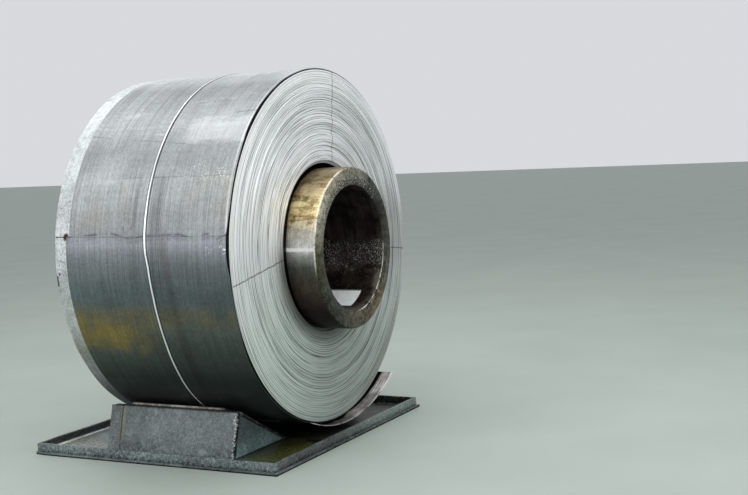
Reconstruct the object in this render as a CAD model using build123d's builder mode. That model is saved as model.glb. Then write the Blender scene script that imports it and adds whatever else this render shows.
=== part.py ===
from build123d import *
from math import cos, radians, sin, tan
import os

os.makedirs("parts", exist_ok=True)

# A coil of steel strip on its cradle: millimetres, the coil's axis along Y, +Z up.
# The origin is the middle of the underside of the cradle's base plate.
# The end face seen in the photo looks to -Y, and the loose tail hangs on the +X side.

# wound strip
strip_thickness = 3.0
coil_width = 807.0
coil_radius = 720.5
loose_gap = 0.5
running_gap = 0.3
wrap_inner_radius = coil_radius + loose_gap
wrap_radius = wrap_inner_radius + strip_thickness

# spool sleeve lying on the bottom of the coil's bore
sleeve_bore_radius = 254.0
sleeve_wall = 74.0
sleeve_slack = 10.4
sleeve_overhang = 127.0
sleeve_edge_chamfer = 7.0
sleeve_bore_chamfer = 5.0
sleeve_radius = sleeve_bore_radius + sleeve_wall
bore_radius = sleeve_radius + sleeve_slack

# blank sheet stuck to the wall of the sleeve's bore
label_thickness = 0.4
label_inset = 65.0
label_length = 150.0
label_low_angle = -76.0
label_high_angle = -50.0

# strap round the middle
strap_width = 9.5
strap_thickness = 1.0
strap_forward = 37.0
strap_radius = wrap_radius + strap_thickness

# cradle: plate, rim and how far they reach past the coil
plate_thickness = 10.0
plate_past_front = 89.5
plate_past_back = 271.5
channel_width = 91.3
rim_lip = 12.0
rim_thickness = 12.0
rim_height = 35.0
floor_gap = 62.0

# chocks, set in from the coil's two faces, and the boards on their ramps
ramp_angle = 29.2
chock_behind_front = 172.5
chock_before_back = 17.5
chock_height = 179.0
chock_wall = 10.0
chock_flat = 25.0
chock_lean = 49.0
chock_toe = 6.0
fold_radius = 6.0
end_inset = 4.0
pad_thickness = 18.0
pad_front_inset = 79.0
pad_back_inset = 86.0
pad_above = 4.0
pad_length = 272.0

# places that follow: the strapped coil rests on the pads, the sleeve in its bore
coil_y = (plate_past_front - plate_past_back) / 2
plate_y = plate_past_front + coil_width + plate_past_back
face_front = coil_y - coil_width / 2
face_back = coil_y + coil_width / 2
axis_z = plate_thickness + floor_gap + strap_radius
sleeve_z = axis_z - sleeve_slack + running_gap
strap_y = coil_y - strap_forward
pad_plane = strap_radius + running_gap
ramp_plane = pad_plane + pad_thickness
chock_front = face_front + chock_behind_front
chock_back = face_back - chock_before_back
chock_top = plate_thickness + chock_height
pad_front = chock_front + pad_front_inset
pad_back = chock_back - pad_back_inset

# groups of turns on the ends: (share of the build-up they reach to, how far they stand out)
front_turns = [
    (0.03, -9.0), (0.14, 0.5), (0.19, -2.0), (0.25, 1.0), (0.32, 2.0), (0.37, -3.0), (0.44, 0.0),
    (0.50, 2.0), (0.56, -2.0), (0.64, 1.0), (0.71, -1.5), (0.79, 1.5), (0.93, 1.0), (1.0, 0.0),
]
back_turns = [
    (0.05, -6.0), (0.22, 1.0), (0.35, -1.5), (0.50, 1.5), (0.66, -1.0), (0.80, 1.5), (1.0, 0.0),
]

# loose outer turn: its two sheets stop short of the strip's edges, at the back by different amounts
seam_angle = 171.8
sheet_front = face_front + 5.0
upper_back = face_back - 71.5
lower_back = face_back - 57.5

# tail: sprung open in front of the chock, its gaps at two angles as shares of the radius
tail_root_angle = -106.0
tail_mid_angle = -77.0
tail_tip_angle = -49.0
tail_mid_gap = 0.072 * wrap_radius
tail_tip_gap = 0.156 * wrap_radius
tail_clearance = 19.0
tail_width = chock_front - sheet_front - tail_clearance
tail_radius = wrap_radius - strip_thickness / 2

# punched mark at the seam and the slit that runs from it to the strip's edge
mark_radius = 10.0
mark_inset = 53.5
slit_width = 3.0
slit_overrun = 10.0
mark_y = face_back - mark_inset


def on_axis(angle, radius, height=axis_z):
    """Point (x, z) at an angle round an axis at that height, from +X towards +Z."""
    return (radius * cos(radians(angle)), height + radius * sin(radians(angle)))


def end_steps(turns, face, outward):
    """Corners (radius, y) of the stepped end, from the bore to the outside."""
    corners = []
    inner = bore_radius
    for share, stands_out in turns:
        outer = bore_radius + share * (coil_radius - bore_radius)
        y = face + outward * stands_out
        corners.append((inner, y))
        corners.append((outer, y))
        inner = outer
    return corners


# coil: one turned solid, its turns standing as steps on both ends
front_corners = end_steps(front_turns, face_front, -1)
back_corners = end_steps(back_turns, face_back, 1)
half_section = front_corners + back_corners[::-1]

mark_x, mark_z = on_axis(seam_angle, coil_radius)
mark_plane = Plane(
    origin=(mark_x, mark_y, mark_z),
    x_dir=(0, 1, 0),
    z_dir=(cos(radians(seam_angle)), 0, sin(radians(seam_angle))),
)
slit_length = mark_inset + slit_overrun
with BuildPart() as coil:
    with BuildSketch(Plane.XY.offset(axis_z)):
        with BuildLine():
            Polyline(*half_section, close=True)
        make_face()
    revolve(axis=Axis((0, 0, axis_z), (0, 1, 0)))
    # slit and mark in the outermost strip, beyond the loose turn's back edge
    with BuildSketch(mark_plane.offset(-strip_thickness)):
        Circle(mark_radius)
        with Locations((slit_length / 2, 0)):
            Rectangle(slit_length, slit_width)
    extrude(amount=2 * strip_thickness, mode=Mode.SUBTRACT)
coil.part.label = "coil"
export_step(coil.part, "parts/coil.step")


def y_plane(y):
    """Plane square to the coil's axis at y, its x along X and its y along Z."""
    return Plane(origin=(0, y, 0), x_dir=(1, 0, 0), z_dir=(0, -1, 0))


# outer wrap: the loose last turn, two joined sheets and the tail sprung open below
wrap_sheets = [
    (tail_root_angle, seam_angle, upper_back),
    (seam_angle, 360 + tail_root_angle, lower_back),
]
with BuildPart() as outer_wrap:
    for start, end, back in wrap_sheets:
        middle = (start + end) / 2
        with BuildSketch(y_plane(back)):
            with BuildLine():
                outer_arc = ThreePointArc(
                    on_axis(start, wrap_radius),
                    on_axis(middle, wrap_radius),
                    on_axis(end, wrap_radius),
                )
                inner_arc = ThreePointArc(
                    on_axis(start, wrap_inner_radius),
                    on_axis(middle, wrap_inner_radius),
                    on_axis(end, wrap_inner_radius),
                )
                Line(outer_arc @ 0, inner_arc @ 0)
                Line(outer_arc @ 1, inner_arc @ 1)
            make_face()
        extrude(amount=back - sheet_front)
    with BuildSketch(y_plane(sheet_front + tail_width)):
        with BuildLine():
            ThreePointArc(
                on_axis(tail_root_angle, tail_radius),
                on_axis(tail_mid_angle, tail_radius + tail_mid_gap),
                on_axis(tail_tip_angle, tail_radius + tail_tip_gap),
            )
        trace(line_width=strip_thickness)
    extrude(amount=tail_width)
    with BuildSketch(mark_plane.offset(-strip_thickness)):
        Circle(mark_radius)
    extrude(amount=3 * strip_thickness, mode=Mode.SUBTRACT)
outer_wrap.part.label = "outer_wrap"
export_step(outer_wrap.part, "parts/outer_wrap.step")

# strap: one flat band round the wrap
with BuildPart() as strap:
    with BuildSketch(y_plane(strap_y + strap_width / 2)):
        with Locations((0, axis_z)):
            Circle(strap_radius)
            Circle(wrap_radius, mode=Mode.SUBTRACT)
    extrude(amount=strap_width)
strap.part.label = "strap"
export_step(strap.part, "parts/strap.step")

# sleeve: thick spool tube, chamfered at the outer edges and in the bore
sleeve_front = face_front - sleeve_overhang
sleeve_back = face_back + sleeve_overhang
with BuildPart() as sleeve:
    with BuildSketch(y_plane(sleeve_back)):
        with Locations((0, sleeve_z)):
            Circle(sleeve_radius)
            Circle(sleeve_bore_radius, mode=Mode.SUBTRACT)
    extrude(amount=sleeve_back - sleeve_front)
    circles = sleeve.edges().filter_by(GeomType.CIRCLE)
    chamfer(circles.filter_by(lambda e: e.radius > sleeve_radius - 1), sleeve_edge_chamfer)
    circles = sleeve.edges().filter_by(GeomType.CIRCLE)
    chamfer(circles.filter_by(lambda e: e.radius < sleeve_bore_radius + 1), sleeve_bore_chamfer)
sleeve.part.label = "sleeve"
export_step(sleeve.part, "parts/sleeve.step")

# label: the sheet follows the bore's wall
label_middle_angle = (label_low_angle + label_high_angle) / 2
label_inner_radius = sleeve_bore_radius - label_thickness
label_front = sleeve_front + label_inset
with BuildPart() as bore_label:
    with BuildSketch(y_plane(label_front + label_length)):
        with BuildLine():
            wall_arc = ThreePointArc(
                on_axis(label_low_angle, sleeve_bore_radius, sleeve_z),
                on_axis(label_middle_angle, sleeve_bore_radius, sleeve_z),
                on_axis(label_high_angle, sleeve_bore_radius, sleeve_z),
            )
            face_arc = ThreePointArc(
                on_axis(label_low_angle, label_inner_radius, sleeve_z),
                on_axis(label_middle_angle, label_inner_radius, sleeve_z),
                on_axis(label_high_angle, label_inner_radius, sleeve_z),
            )
            Line(wall_arc @ 0, face_arc @ 0)
            Line(wall_arc @ 1, face_arc @ 1)
        make_face()
    extrude(amount=label_length)
bore_label.part.label = "bore_label"
export_step(bore_label.part, "parts/bore_label.step")

# chock section on the -X side, its ramp parallel to the pad that touches the strap
slope = tan(radians(ramp_angle))
foot_x = -ramp_plane * sin(radians(ramp_angle))
foot_z = axis_z - ramp_plane * cos(radians(ramp_angle))
ramp_top_x = foot_x - (chock_top - foot_z) / slope
toe_z = plate_thickness + chock_toe
ramp_toe_x = foot_x + (foot_z - toe_z) / slope
outer_top_x = ramp_top_x - chock_flat
outer_foot_x = outer_top_x - chock_lean
chock_section = [
    (outer_foot_x, plate_thickness),
    (outer_top_x, chock_top),
    (ramp_top_x, chock_top),
    (ramp_toe_x, toe_z),
    (ramp_toe_x, plate_thickness),
]

# the same outline run on below the plate, so that its inset leaves the shell open underneath
lean = chock_lean / (chock_top - plate_thickness)
below = 3 * chock_wall
run_on_section = [
    (outer_foot_x - lean * below, plate_thickness - below),
    (outer_top_x, chock_top),
    (ramp_top_x, chock_top),
    (ramp_toe_x + (toe_z - plate_thickness + below) / slope, plate_thickness - below),
]

# pad section: a board on the ramp, its upper edge just above the chock's top
along_x = cos(radians(ramp_angle))
along_z = -sin(radians(ramp_angle))
pad_start = -(chock_top - foot_z) / sin(radians(ramp_angle)) - pad_above
pad_end = pad_start + pad_length
pad_rise_x = pad_thickness * sin(radians(ramp_angle))
pad_rise_z = pad_thickness * cos(radians(ramp_angle))
pad_low = (foot_x + pad_start * along_x, foot_z + pad_start * along_z)
pad_high = (foot_x + pad_end * along_x, foot_z + pad_end * along_z)
pad_section = [
    pad_low,
    pad_high,
    (pad_high[0] + pad_rise_x, pad_high[1] + pad_rise_z),
    (pad_low[0] + pad_rise_x, pad_low[1] + pad_rise_z),
]

# base plate: it reaches past the chocks by a channel, the rim and the lip outside the rim
plate_x = 2 * (channel_width + rim_thickness + rim_lip - outer_foot_x)
with BuildPart() as base_plate:
    with BuildSketch():
        Rectangle(plate_x, plate_y)
    extrude(amount=plate_thickness)
base_plate.part.label = "base_plate"
export_step(base_plate.part, "parts/base_plate.step")

# rim: four flat bars standing on edge round the plate, inside its lip
rim_x = plate_x / 2 - rim_lip - rim_thickness / 2
rim_y = plate_y / 2 - rim_lip - rim_thickness / 2
for side, y in (("front", -rim_y), ("back", rim_y)):
    with BuildPart() as long_bar:
        with BuildSketch(Plane.XY.offset(plate_thickness)):
            with Locations((0, y)):
                Rectangle(2 * rim_x + rim_thickness, rim_thickness)
        extrude(amount=rim_height)
    long_bar.part.label = f"{side}_rim"
    export_step(long_bar.part, f"parts/{side}_rim.step")

for side, x in (("left", -rim_x), ("right", rim_x)):
    with BuildPart() as short_bar:
        with BuildSketch(Plane.XY.offset(plate_thickness)):
            with Locations((x, 0)):
                Rectangle(rim_thickness, 2 * rim_y - rim_thickness)
        extrude(amount=rim_height)
    short_bar.part.label = f"{side}_rim"
    export_step(short_bar.part, f"parts/{side}_rim.step")

for side, sign in (("left", 1), ("right", -1)):
    outline = [(sign * x, z) for x, z in chock_section]
    run_on = [(sign * x, z) for x, z in run_on_section]
    board = [(sign * x, z) for x, z in pad_section]

    # folded shell: leaning outer plate, narrow top and ramp, open at the ends and below
    with BuildPart() as shell:
        with BuildSketch(y_plane(chock_back)):
            with BuildLine():
                Polyline(*outline, close=True)
            make_face()
        extrude(amount=chock_back - chock_front)
        fillet(shell.edges().filter_by(Axis.Y).group_by(Axis.Z)[-1], fold_radius)
        with BuildSketch(y_plane(chock_back)):
            with BuildLine():
                Polyline(*run_on, close=True)
            make_face()
            offset(amount=-chock_wall, kind=Kind.INTERSECTION, mode=Mode.REPLACE)
        extrude(amount=chock_back - chock_front, mode=Mode.SUBTRACT)
    shell.part.label = f"{side}_chock_shell"
    export_step(shell.part, f"parts/{side}_chock_shell.step")

    # end plates: they fill the shell's section and stand a little inside its ends
    for end, plate_back in (("front", chock_front + end_inset + chock_wall), ("back", chock_back - end_inset)):
        with BuildPart() as end_plate:
            with BuildSketch(y_plane(plate_back)):
                with BuildLine():
                    Polyline(*run_on, close=True)
                make_face()
                offset(amount=-chock_wall, kind=Kind.INTERSECTION, mode=Mode.REPLACE)
                with Locations((0, plate_thickness + chock_top / 2)):
                    Rectangle(plate_x, chock_top, mode=Mode.INTERSECT)
            extrude(amount=chock_wall)
        end_plate.part.label = f"{side}_chock_{end}_end"
        export_step(end_plate.part, f"parts/{side}_chock_{end}_end.step")

    # pad: lining board that carries the coil
    with BuildPart() as pad:
        with BuildSketch(y_plane(pad_back)):
            with BuildLine():
                Polyline(*board, close=True)
            make_face()
        extrude(amount=pad_back - pad_front)
    pad.part.label = f"{side}_pad"
    export_step(pad.part, f"parts/{side}_pad.step")
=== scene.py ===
"""Looks of a coil of steel strip that lies on its welded cradle.

Metres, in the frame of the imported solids: the coil's axis runs along Y, its photographed
end looks to -Y, the sprung tail hangs on the +X side, and +Z is up. Angles round the
coil's axis are in degrees from +X towards +Z.
"""

from __future__ import annotations

import logging
import math
from dataclasses import dataclass
from enum import Enum
from typing import Callable, Sequence, Union

import bmesh
import bpy
from mathutils import Matrix, Vector, noise


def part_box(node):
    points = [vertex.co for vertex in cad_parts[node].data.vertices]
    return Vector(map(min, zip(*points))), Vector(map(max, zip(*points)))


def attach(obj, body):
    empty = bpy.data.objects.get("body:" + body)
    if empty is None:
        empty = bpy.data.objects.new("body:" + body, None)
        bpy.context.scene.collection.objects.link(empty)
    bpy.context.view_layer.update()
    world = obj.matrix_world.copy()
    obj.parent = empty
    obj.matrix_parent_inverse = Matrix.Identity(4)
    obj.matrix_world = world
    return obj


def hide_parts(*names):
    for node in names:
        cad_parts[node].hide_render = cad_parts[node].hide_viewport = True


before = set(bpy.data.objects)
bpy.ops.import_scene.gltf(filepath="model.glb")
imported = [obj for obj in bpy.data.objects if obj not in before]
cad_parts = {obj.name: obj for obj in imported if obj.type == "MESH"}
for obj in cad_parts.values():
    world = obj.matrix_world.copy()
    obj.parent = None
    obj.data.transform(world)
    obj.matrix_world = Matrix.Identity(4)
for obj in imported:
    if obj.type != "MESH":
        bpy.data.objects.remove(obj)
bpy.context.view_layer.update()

log = logging.getLogger("steel_coil")

MM = 0.001
BODY = "root"
Colour = tuple[float, float, float, float]
Point2 = tuple[float, float]
Socket = bpy.types.NodeSocket
Material = bpy.types.Material
BMesh = bmesh.types.BMesh
Number = Union["Value", float]


def box_of(node: str) -> tuple[Vector, Vector]:
    """Lowest and highest corner of a solid, in metres."""
    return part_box(node)


COIL_LOW, COIL_HIGH = box_of("coil")
SLEEVE_LOW, SLEEVE_HIGH = box_of("sleeve")
STRAP_LOW, STRAP_HIGH = box_of("strap")
PLATE_LOW, PLATE_HIGH = box_of("base_plate")

AXIS_Z = (COIL_LOW.z + COIL_HIGH.z) / 2
COIL_RADIUS = (COIL_HIGH.x - COIL_LOW.x) / 2
WRAP_RADIUS = -box_of("outer_wrap")[0].x
SLEEVE_Z = (SLEEVE_LOW.z + SLEEVE_HIGH.z) / 2
SLEEVE_RADIUS = (SLEEVE_HIGH.x - SLEEVE_LOW.x) / 2
STAND_OUT = 2.0 * MM
FACE_FRONT = COIL_LOW.y + STAND_OUT
FACE_BACK = COIL_HIGH.y - 1.5 * MM
SEAM_ANGLE = 171.8
SEAM_Z = AXIS_Z + COIL_RADIUS * math.sin(math.radians(SEAM_ANGLE))
MARK_Y = FACE_BACK - 53.5 * MM
COIL_BORE = 338.4 * MM
SLEEVE_BORE = 254.0 * MM
END_STRIP = 59.0 * MM
STRAP_PATH = (
    (0, 0), (100, 3), (112, 6), (155, 6), (171, 9), (177, 5), (181, -4), (190, -12), (198, -14),
    (206, -13), (217, -6), (226, 3), (240, 10), (300, 4), (360, 0),
)


class Side(Enum):
    """The two chocks, and the sign that mirrors the left one's section."""

    LEFT = 1
    RIGHT = -1

    @property
    def word(self) -> str:
        """The name that the solids of this side start with."""
        return self.name.lower()


# ---------------------------------------------------------------- places and meshes


def on_axis(angle: float, radius: float, y: float, height: float = AXIS_Z) -> Vector:
    """Point at an angle, a radius and a place along the coil's axis.

    Args:
        angle: degrees from +X towards +Z.
        radius: distance from the axis.
        y: place along the axis.
        height: height of the axis.

    Returns:
        The point in metres.
    """
    turn = math.radians(angle)
    return Vector((radius * math.cos(turn), y, height + radius * math.sin(turn)))


def polar(point: Vector, height: float = AXIS_Z) -> Point2:
    """Angle in degrees, from 0 to 360, and radius of a point round an axis."""
    angle = math.degrees(math.atan2(point.z - height, point.x)) % 360
    return angle, math.hypot(point.x, point.z - height)


def outwards(point: Vector, height: float = AXIS_Z) -> Vector:
    """Unit vector from the axis towards a point."""
    return Vector((point.x, 0, point.z - height)).normalized()


def circling(angle: float, size: float, third: float = 0.0) -> Vector:
    """Place to read noise at, on a circle, so that the noise closes round the axis."""
    turn = math.radians(angle)
    return Vector((math.cos(turn) * size, math.sin(turn) * size, third))


def evenly(low: float, high: float, count: int) -> list[float]:
    """Places that part a length into equal steps, its two ends with them."""
    return [low + (high - low) * k / count for k in range(count + 1)]


def bump(value: float, centre: float, half_width: float) -> float:
    """A smooth hill of height 1 at the centre that ends at the half width."""
    share = abs(value - centre) / half_width
    return 0.0 if share >= 1 else 0.5 + 0.5 * math.cos(math.pi * share)


def ramp_up(value: float, low: float, high: float) -> float:
    """Smooth step from 0 at low to 1 at high."""
    share = min(max((value - low) / (high - low), 0.0), 1.0)
    return share * share * (3 - 2 * share)


def between(value: float, stops: Sequence[Point2]) -> float:
    """Value read from a run of (place, value) stops, straight between two of them."""
    for (low, first), (high, second) in zip(stops, stops[1:]):
        if value <= high:
            return first + (second - first) * (value - low) / (high - low)
    return stops[-1][1]


def wander(seed: float, point: Vector) -> float:
    """Soft noise from -1 to 1 at a point, different for each seed."""
    return noise.noise(point + Vector((seed * 7.3, seed * 3.1, seed * 5.7)))


def chain(bm: BMesh, points: Sequence[Vector], close: bool = False) -> list:
    """Adds a line of vertices and its edges.

    Args:
        bm: mesh to add to.
        points: corners of the line in order.
        close: whether the last corner joins the first.

    Returns:
        The new vertices and edges, as the spin operator takes them.
    """
    verts = [bm.verts.new(p) for p in points]
    pairs = list(zip(verts, verts[1:]))
    if close:
        pairs.append((verts[-1], verts[0]))
    return verts + [bm.edges.new(pair) for pair in pairs]


def spin_round(bm: BMesh, geometry: list, sweep: float, steps: int, height: float = AXIS_Z) -> None:
    """Turns a line round the coil's axis from +X towards +Z.

    Args:
        bm: mesh that holds the line.
        geometry: its vertices and edges.
        sweep: degrees to turn; 360 closes the shape.
        steps: number of steps.
        height: height of the axis.
    """
    full = sweep >= 360
    bmesh.ops.spin(
        bm, geom=geometry, cent=(0, 0, height), axis=(0, -1, 0), angle=math.radians(sweep),
        steps=steps, use_merge=full,
    )
    if full:
        bmesh.ops.remove_doubles(bm, verts=bm.verts, dist=1e-6)
        bmesh.ops.recalc_face_normals(bm, faces=bm.faces)


def face_outwards(bm: BMesh, height: float = AXIS_Z) -> None:
    """Turns the faces of an open sheet so that they look away from the axis."""
    for face in bm.faces:
        if face.normal.dot(outwards(face.calc_center_median(), height)) < 0:
            face.normal_flip()


def thicken(bm: BMesh, thickness: float) -> None:
    """Gives an open sheet a wall on the side away from its normals.

    Args:
        bm: the mesh.
        thickness: the wall.
    """
    bm.normal_update()
    bmesh.ops.solidify(bm, geom=bm.faces[:], thickness=thickness)
    bmesh.ops.recalc_face_normals(bm, faces=bm.faces)


def move_all(bm: BMesh, shift: Callable[[Vector], Vector]) -> None:
    """Moves each vertex by what the function gives for its place."""
    for vert in bm.verts:
        vert.co += shift(vert.co.copy())


def curved_sheet(
    places: Sequence[float], radius: float, start: float, sweep: float, steps: int,
    shift: Callable[[Vector], Vector], wall: float, height: float = AXIS_Z,
) -> BMesh:
    """Makes a sheet that lies round an axis.

    Args:
        places: where its points lie along the axis.
        radius: its outer radius.
        start: its first angle.
        sweep: degrees that it reaches round.
        steps: number of steps round.
        shift: what moves each of its points before it has a wall.
        wall: its thickness.
        height: height of the axis.

    Returns:
        The mesh.
    """
    bm = bmesh.new()
    spin_round(
        bm, chain(bm, [on_axis(start, radius, y, height) for y in places]), sweep, steps, height
    )
    face_outwards(bm, height)
    move_all(bm, shift)
    thicken(bm, wall)
    return bm


def bevel_sharp(bm: BMesh, width: float, segments: int = 2, limit: float = 30) -> None:
    """Rounds every edge that is sharper than the limit in degrees.

    Args:
        bm: the mesh.
        width: how far the bevel reaches.
        segments: its number of steps.
        limit: an angle in degrees.
    """
    bm.normal_update()
    sharp = [e for e in bm.edges if e.is_manifold and math.degrees(e.calc_face_angle(0)) > limit]
    bmesh.ops.bevel(
        bm, geom=sharp, offset=width, offset_type="OFFSET", segments=segments, profile=0.5,
        affect="EDGES", material=-1, clamp_overlap=True,
    )


def block(bm: BMesh, low: Vector, high: Vector) -> list:
    """Adds a box between two corners and returns its vertices.

    Args:
        bm: the mesh.
        low: its lowest corner.
        high: its highest corner.

    Returns:
        Its vertices.
    """
    size = high - low
    place = Matrix.Translation((low + high) / 2) @ Matrix.Diagonal((*size, 1))
    return bmesh.ops.create_cube(bm, size=1, matrix=place)["verts"]


def prism(bm: BMesh, outline: Sequence[Point2], front: float, back: float) -> None:
    """Adds a bar of one section, from its front to its back along the coil's axis.

    Args:
        bm: mesh to add to.
        outline: corners (x, z) of the section.
        front: lowest y.
        back: highest y.
    """
    verts = [bm.verts.new((x, front, z)) for x, z in outline]
    face = bm.faces.new(verts)
    made = bmesh.ops.extrude_face_region(bm, geom=[face])
    moved = [g for g in made["geom"] if isinstance(g, bmesh.types.BMVert)]
    bmesh.ops.translate(bm, verts=moved, vec=(0, back - front, 0))
    bmesh.ops.recalc_face_normals(bm, faces=bm.faces)


def cut_loops(bm: BMesh, axis: int, places: Sequence[float]) -> None:
    """Cuts the whole mesh with planes square to one axis, so that it can bend there.

    Args:
        bm: the mesh.
        axis: 0 for X, 1 for Y.
        places: where, along that axis.
    """
    normal = Vector((0, 0, 0))
    normal[axis] = 1
    for place in places:
        point = normal * place
        geometry = bm.verts[:] + bm.edges[:] + bm.faces[:]
        bmesh.ops.bisect_plane(bm, geom=geometry, dist=1e-6, plane_co=point, plane_no=normal)


def weld_bead(bm: BMesh, start: Vector, end: Vector, radius: float, seed: float) -> None:
    """Adds a rippled bead of weld metal along a line.

    Args:
        bm: mesh to add to.
        start: first end of the seam.
        end: last end of the seam.
        radius: half of the bead's width.
        seed: makes this bead's ripples differ from the next one's.
    """
    run = end - start
    length = run.length
    bead = bmesh.new()
    bmesh.ops.create_cone(
        bead, cap_ends=True, segments=8, radius1=radius, radius2=radius, depth=length
    )
    long_edges = [e for e in bead.edges if abs(e.verts[0].co.z - e.verts[1].co.z) > length / 2]
    cuts = max(4, int(length / (radius * 0.9)))
    bmesh.ops.subdivide_edges(bead, edges=long_edges, cuts=cuts)
    for vert in bead.verts:
        along = vert.co.z / radius
        swell = 1 + 0.16 * math.sin(along * 2.6 + seed) + 0.3 * wander(seed, vert.co / radius * 0.4)
        vert.co.x *= swell
        vert.co.y *= swell
    turn = run.to_track_quat("Z", "Y").to_matrix().to_4x4()
    place = Matrix.Translation((start + end) / 2) @ turn
    bmesh.ops.transform(bead, matrix=place, verts=bead.verts)
    add_to(bm, bead)


def add_to(bm: BMesh, part: BMesh) -> None:
    """Adds one mesh to another and frees it.

    Args:
        bm: the mesh.
        part: the mesh to add.
    """
    carrier = bpy.data.meshes.new("carrier")
    part.to_mesh(carrier)
    part.free()
    bm.from_mesh(carrier)
    bpy.data.meshes.remove(carrier)


def make_piece(
    name: str, bm: BMesh, material: Material, stands_for: Sequence[str] = (),
    sharp: float = 30,
) -> bpy.types.Object:
    """Turns a mesh into a shown piece that rides on the part's body.

    Args:
        name: the piece's name.
        bm: its mesh, which is freed.
        material: its finish.
        stands_for: solids that it replaces.
        sharp: edges over this many degrees stay sharp.

    Returns:
        The new object.
    """
    bm.normal_update()
    for face in bm.faces:
        face.smooth = True
    for edge in bm.edges:
        angle = edge.calc_face_angle(0) if edge.is_manifold else 0
        edge.smooth = math.degrees(angle) < sharp
    mesh = bpy.data.meshes.new(name)
    bm.to_mesh(mesh)
    bm.free()
    mesh.materials.append(material)
    piece = bpy.data.objects.new(name, mesh)
    bpy.context.scene.collection.objects.link(piece)
    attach(piece, BODY)
    if stands_for:
        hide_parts(*stands_for)
    log.info("%s: %d faces", name, len(mesh.polygons))
    return piece


# ---------------------------------------------------------------- shader graphs


class Value:
    """A number or colour that changes over the surface, with the arithmetic that shapes it."""

    def __init__(self, graph: Graph, socket: Socket) -> None:
        """Keeps the graph and the socket that the value comes from."""
        self.graph, self.socket = graph, socket

    def __add__(self, other: Number) -> Value:
        """This plus another."""
        return self.graph.math("ADD", self, other)

    def __sub__(self, other: Number) -> Value:
        """This less another."""
        return self.graph.math("SUBTRACT", self, other)

    def __rsub__(self, other: float) -> Value:
        """A number less this."""
        return self.graph.math("SUBTRACT", other, self)

    def __mul__(self, other: Number) -> Value:
        """This times another."""
        return self.graph.math("MULTIPLY", self, other)

    def __truediv__(self, other: Number) -> Value:
        """This as a share of another."""
        return self.graph.math("DIVIDE", self, other)

    def __abs__(self) -> Value:
        """This without its sign."""
        return self.graph.math("ABSOLUTE", self)

    def fade(self, low: float, high: float) -> Value:
        """Smooth mask from 0 at low to 1 at high; low may be the larger."""
        inputs = {"Value": self, "From Min": low, "From Max": high}
        return self.graph.value("ShaderNodeMapRange", inputs, interpolation_type="SMOOTHSTEP")

    def band(self, centre: float, half_width: float, soft: float) -> Value:
        """Mask of 1 within a half width of the centre, falling off over the soft width."""
        return abs(self - centre).fade(half_width + soft, half_width)

    def within(self, low: float, high: float, soft: float) -> Value:
        """Mask of 1 between two values, soft outside them."""
        return self.band((low + high) / 2, (high - low) / 2, soft)

    def ramp(self, stops: Sequence[tuple[float, Colour]]) -> Value:
        """A colour read from a run of stops.

        Args:
            stops: pairs of a place from 0 to 1 and its colour.

        Returns:
            The colour.
        """
        made = self.graph.node("ShaderNodeValToRGB", {0: self})
        elements = made.color_ramp.elements
        while len(elements) < len(stops):
            elements.new(0.5)
        for element, (position, colour) in zip(elements, stops):
            element.position = position
            element.color = colour
        return Value(self.graph, made.outputs[0])

    def follow(self, path: Sequence[Point2]) -> Value:
        """A number read from a run of stops.

        Args:
            path: pairs of a place and its number, in rising order of place.

        Returns:
            The number there.
        """
        low, high = path[0][0], path[-1][0]
        least, most = min(n for _, n in path), max(n for _, n in path)
        stops = [((p - low) / (high - low), grey((n - least) / (most - least))) for p, n in path]
        return ((self - low) / (high - low)).ramp(stops) * (most - least) + least


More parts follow.
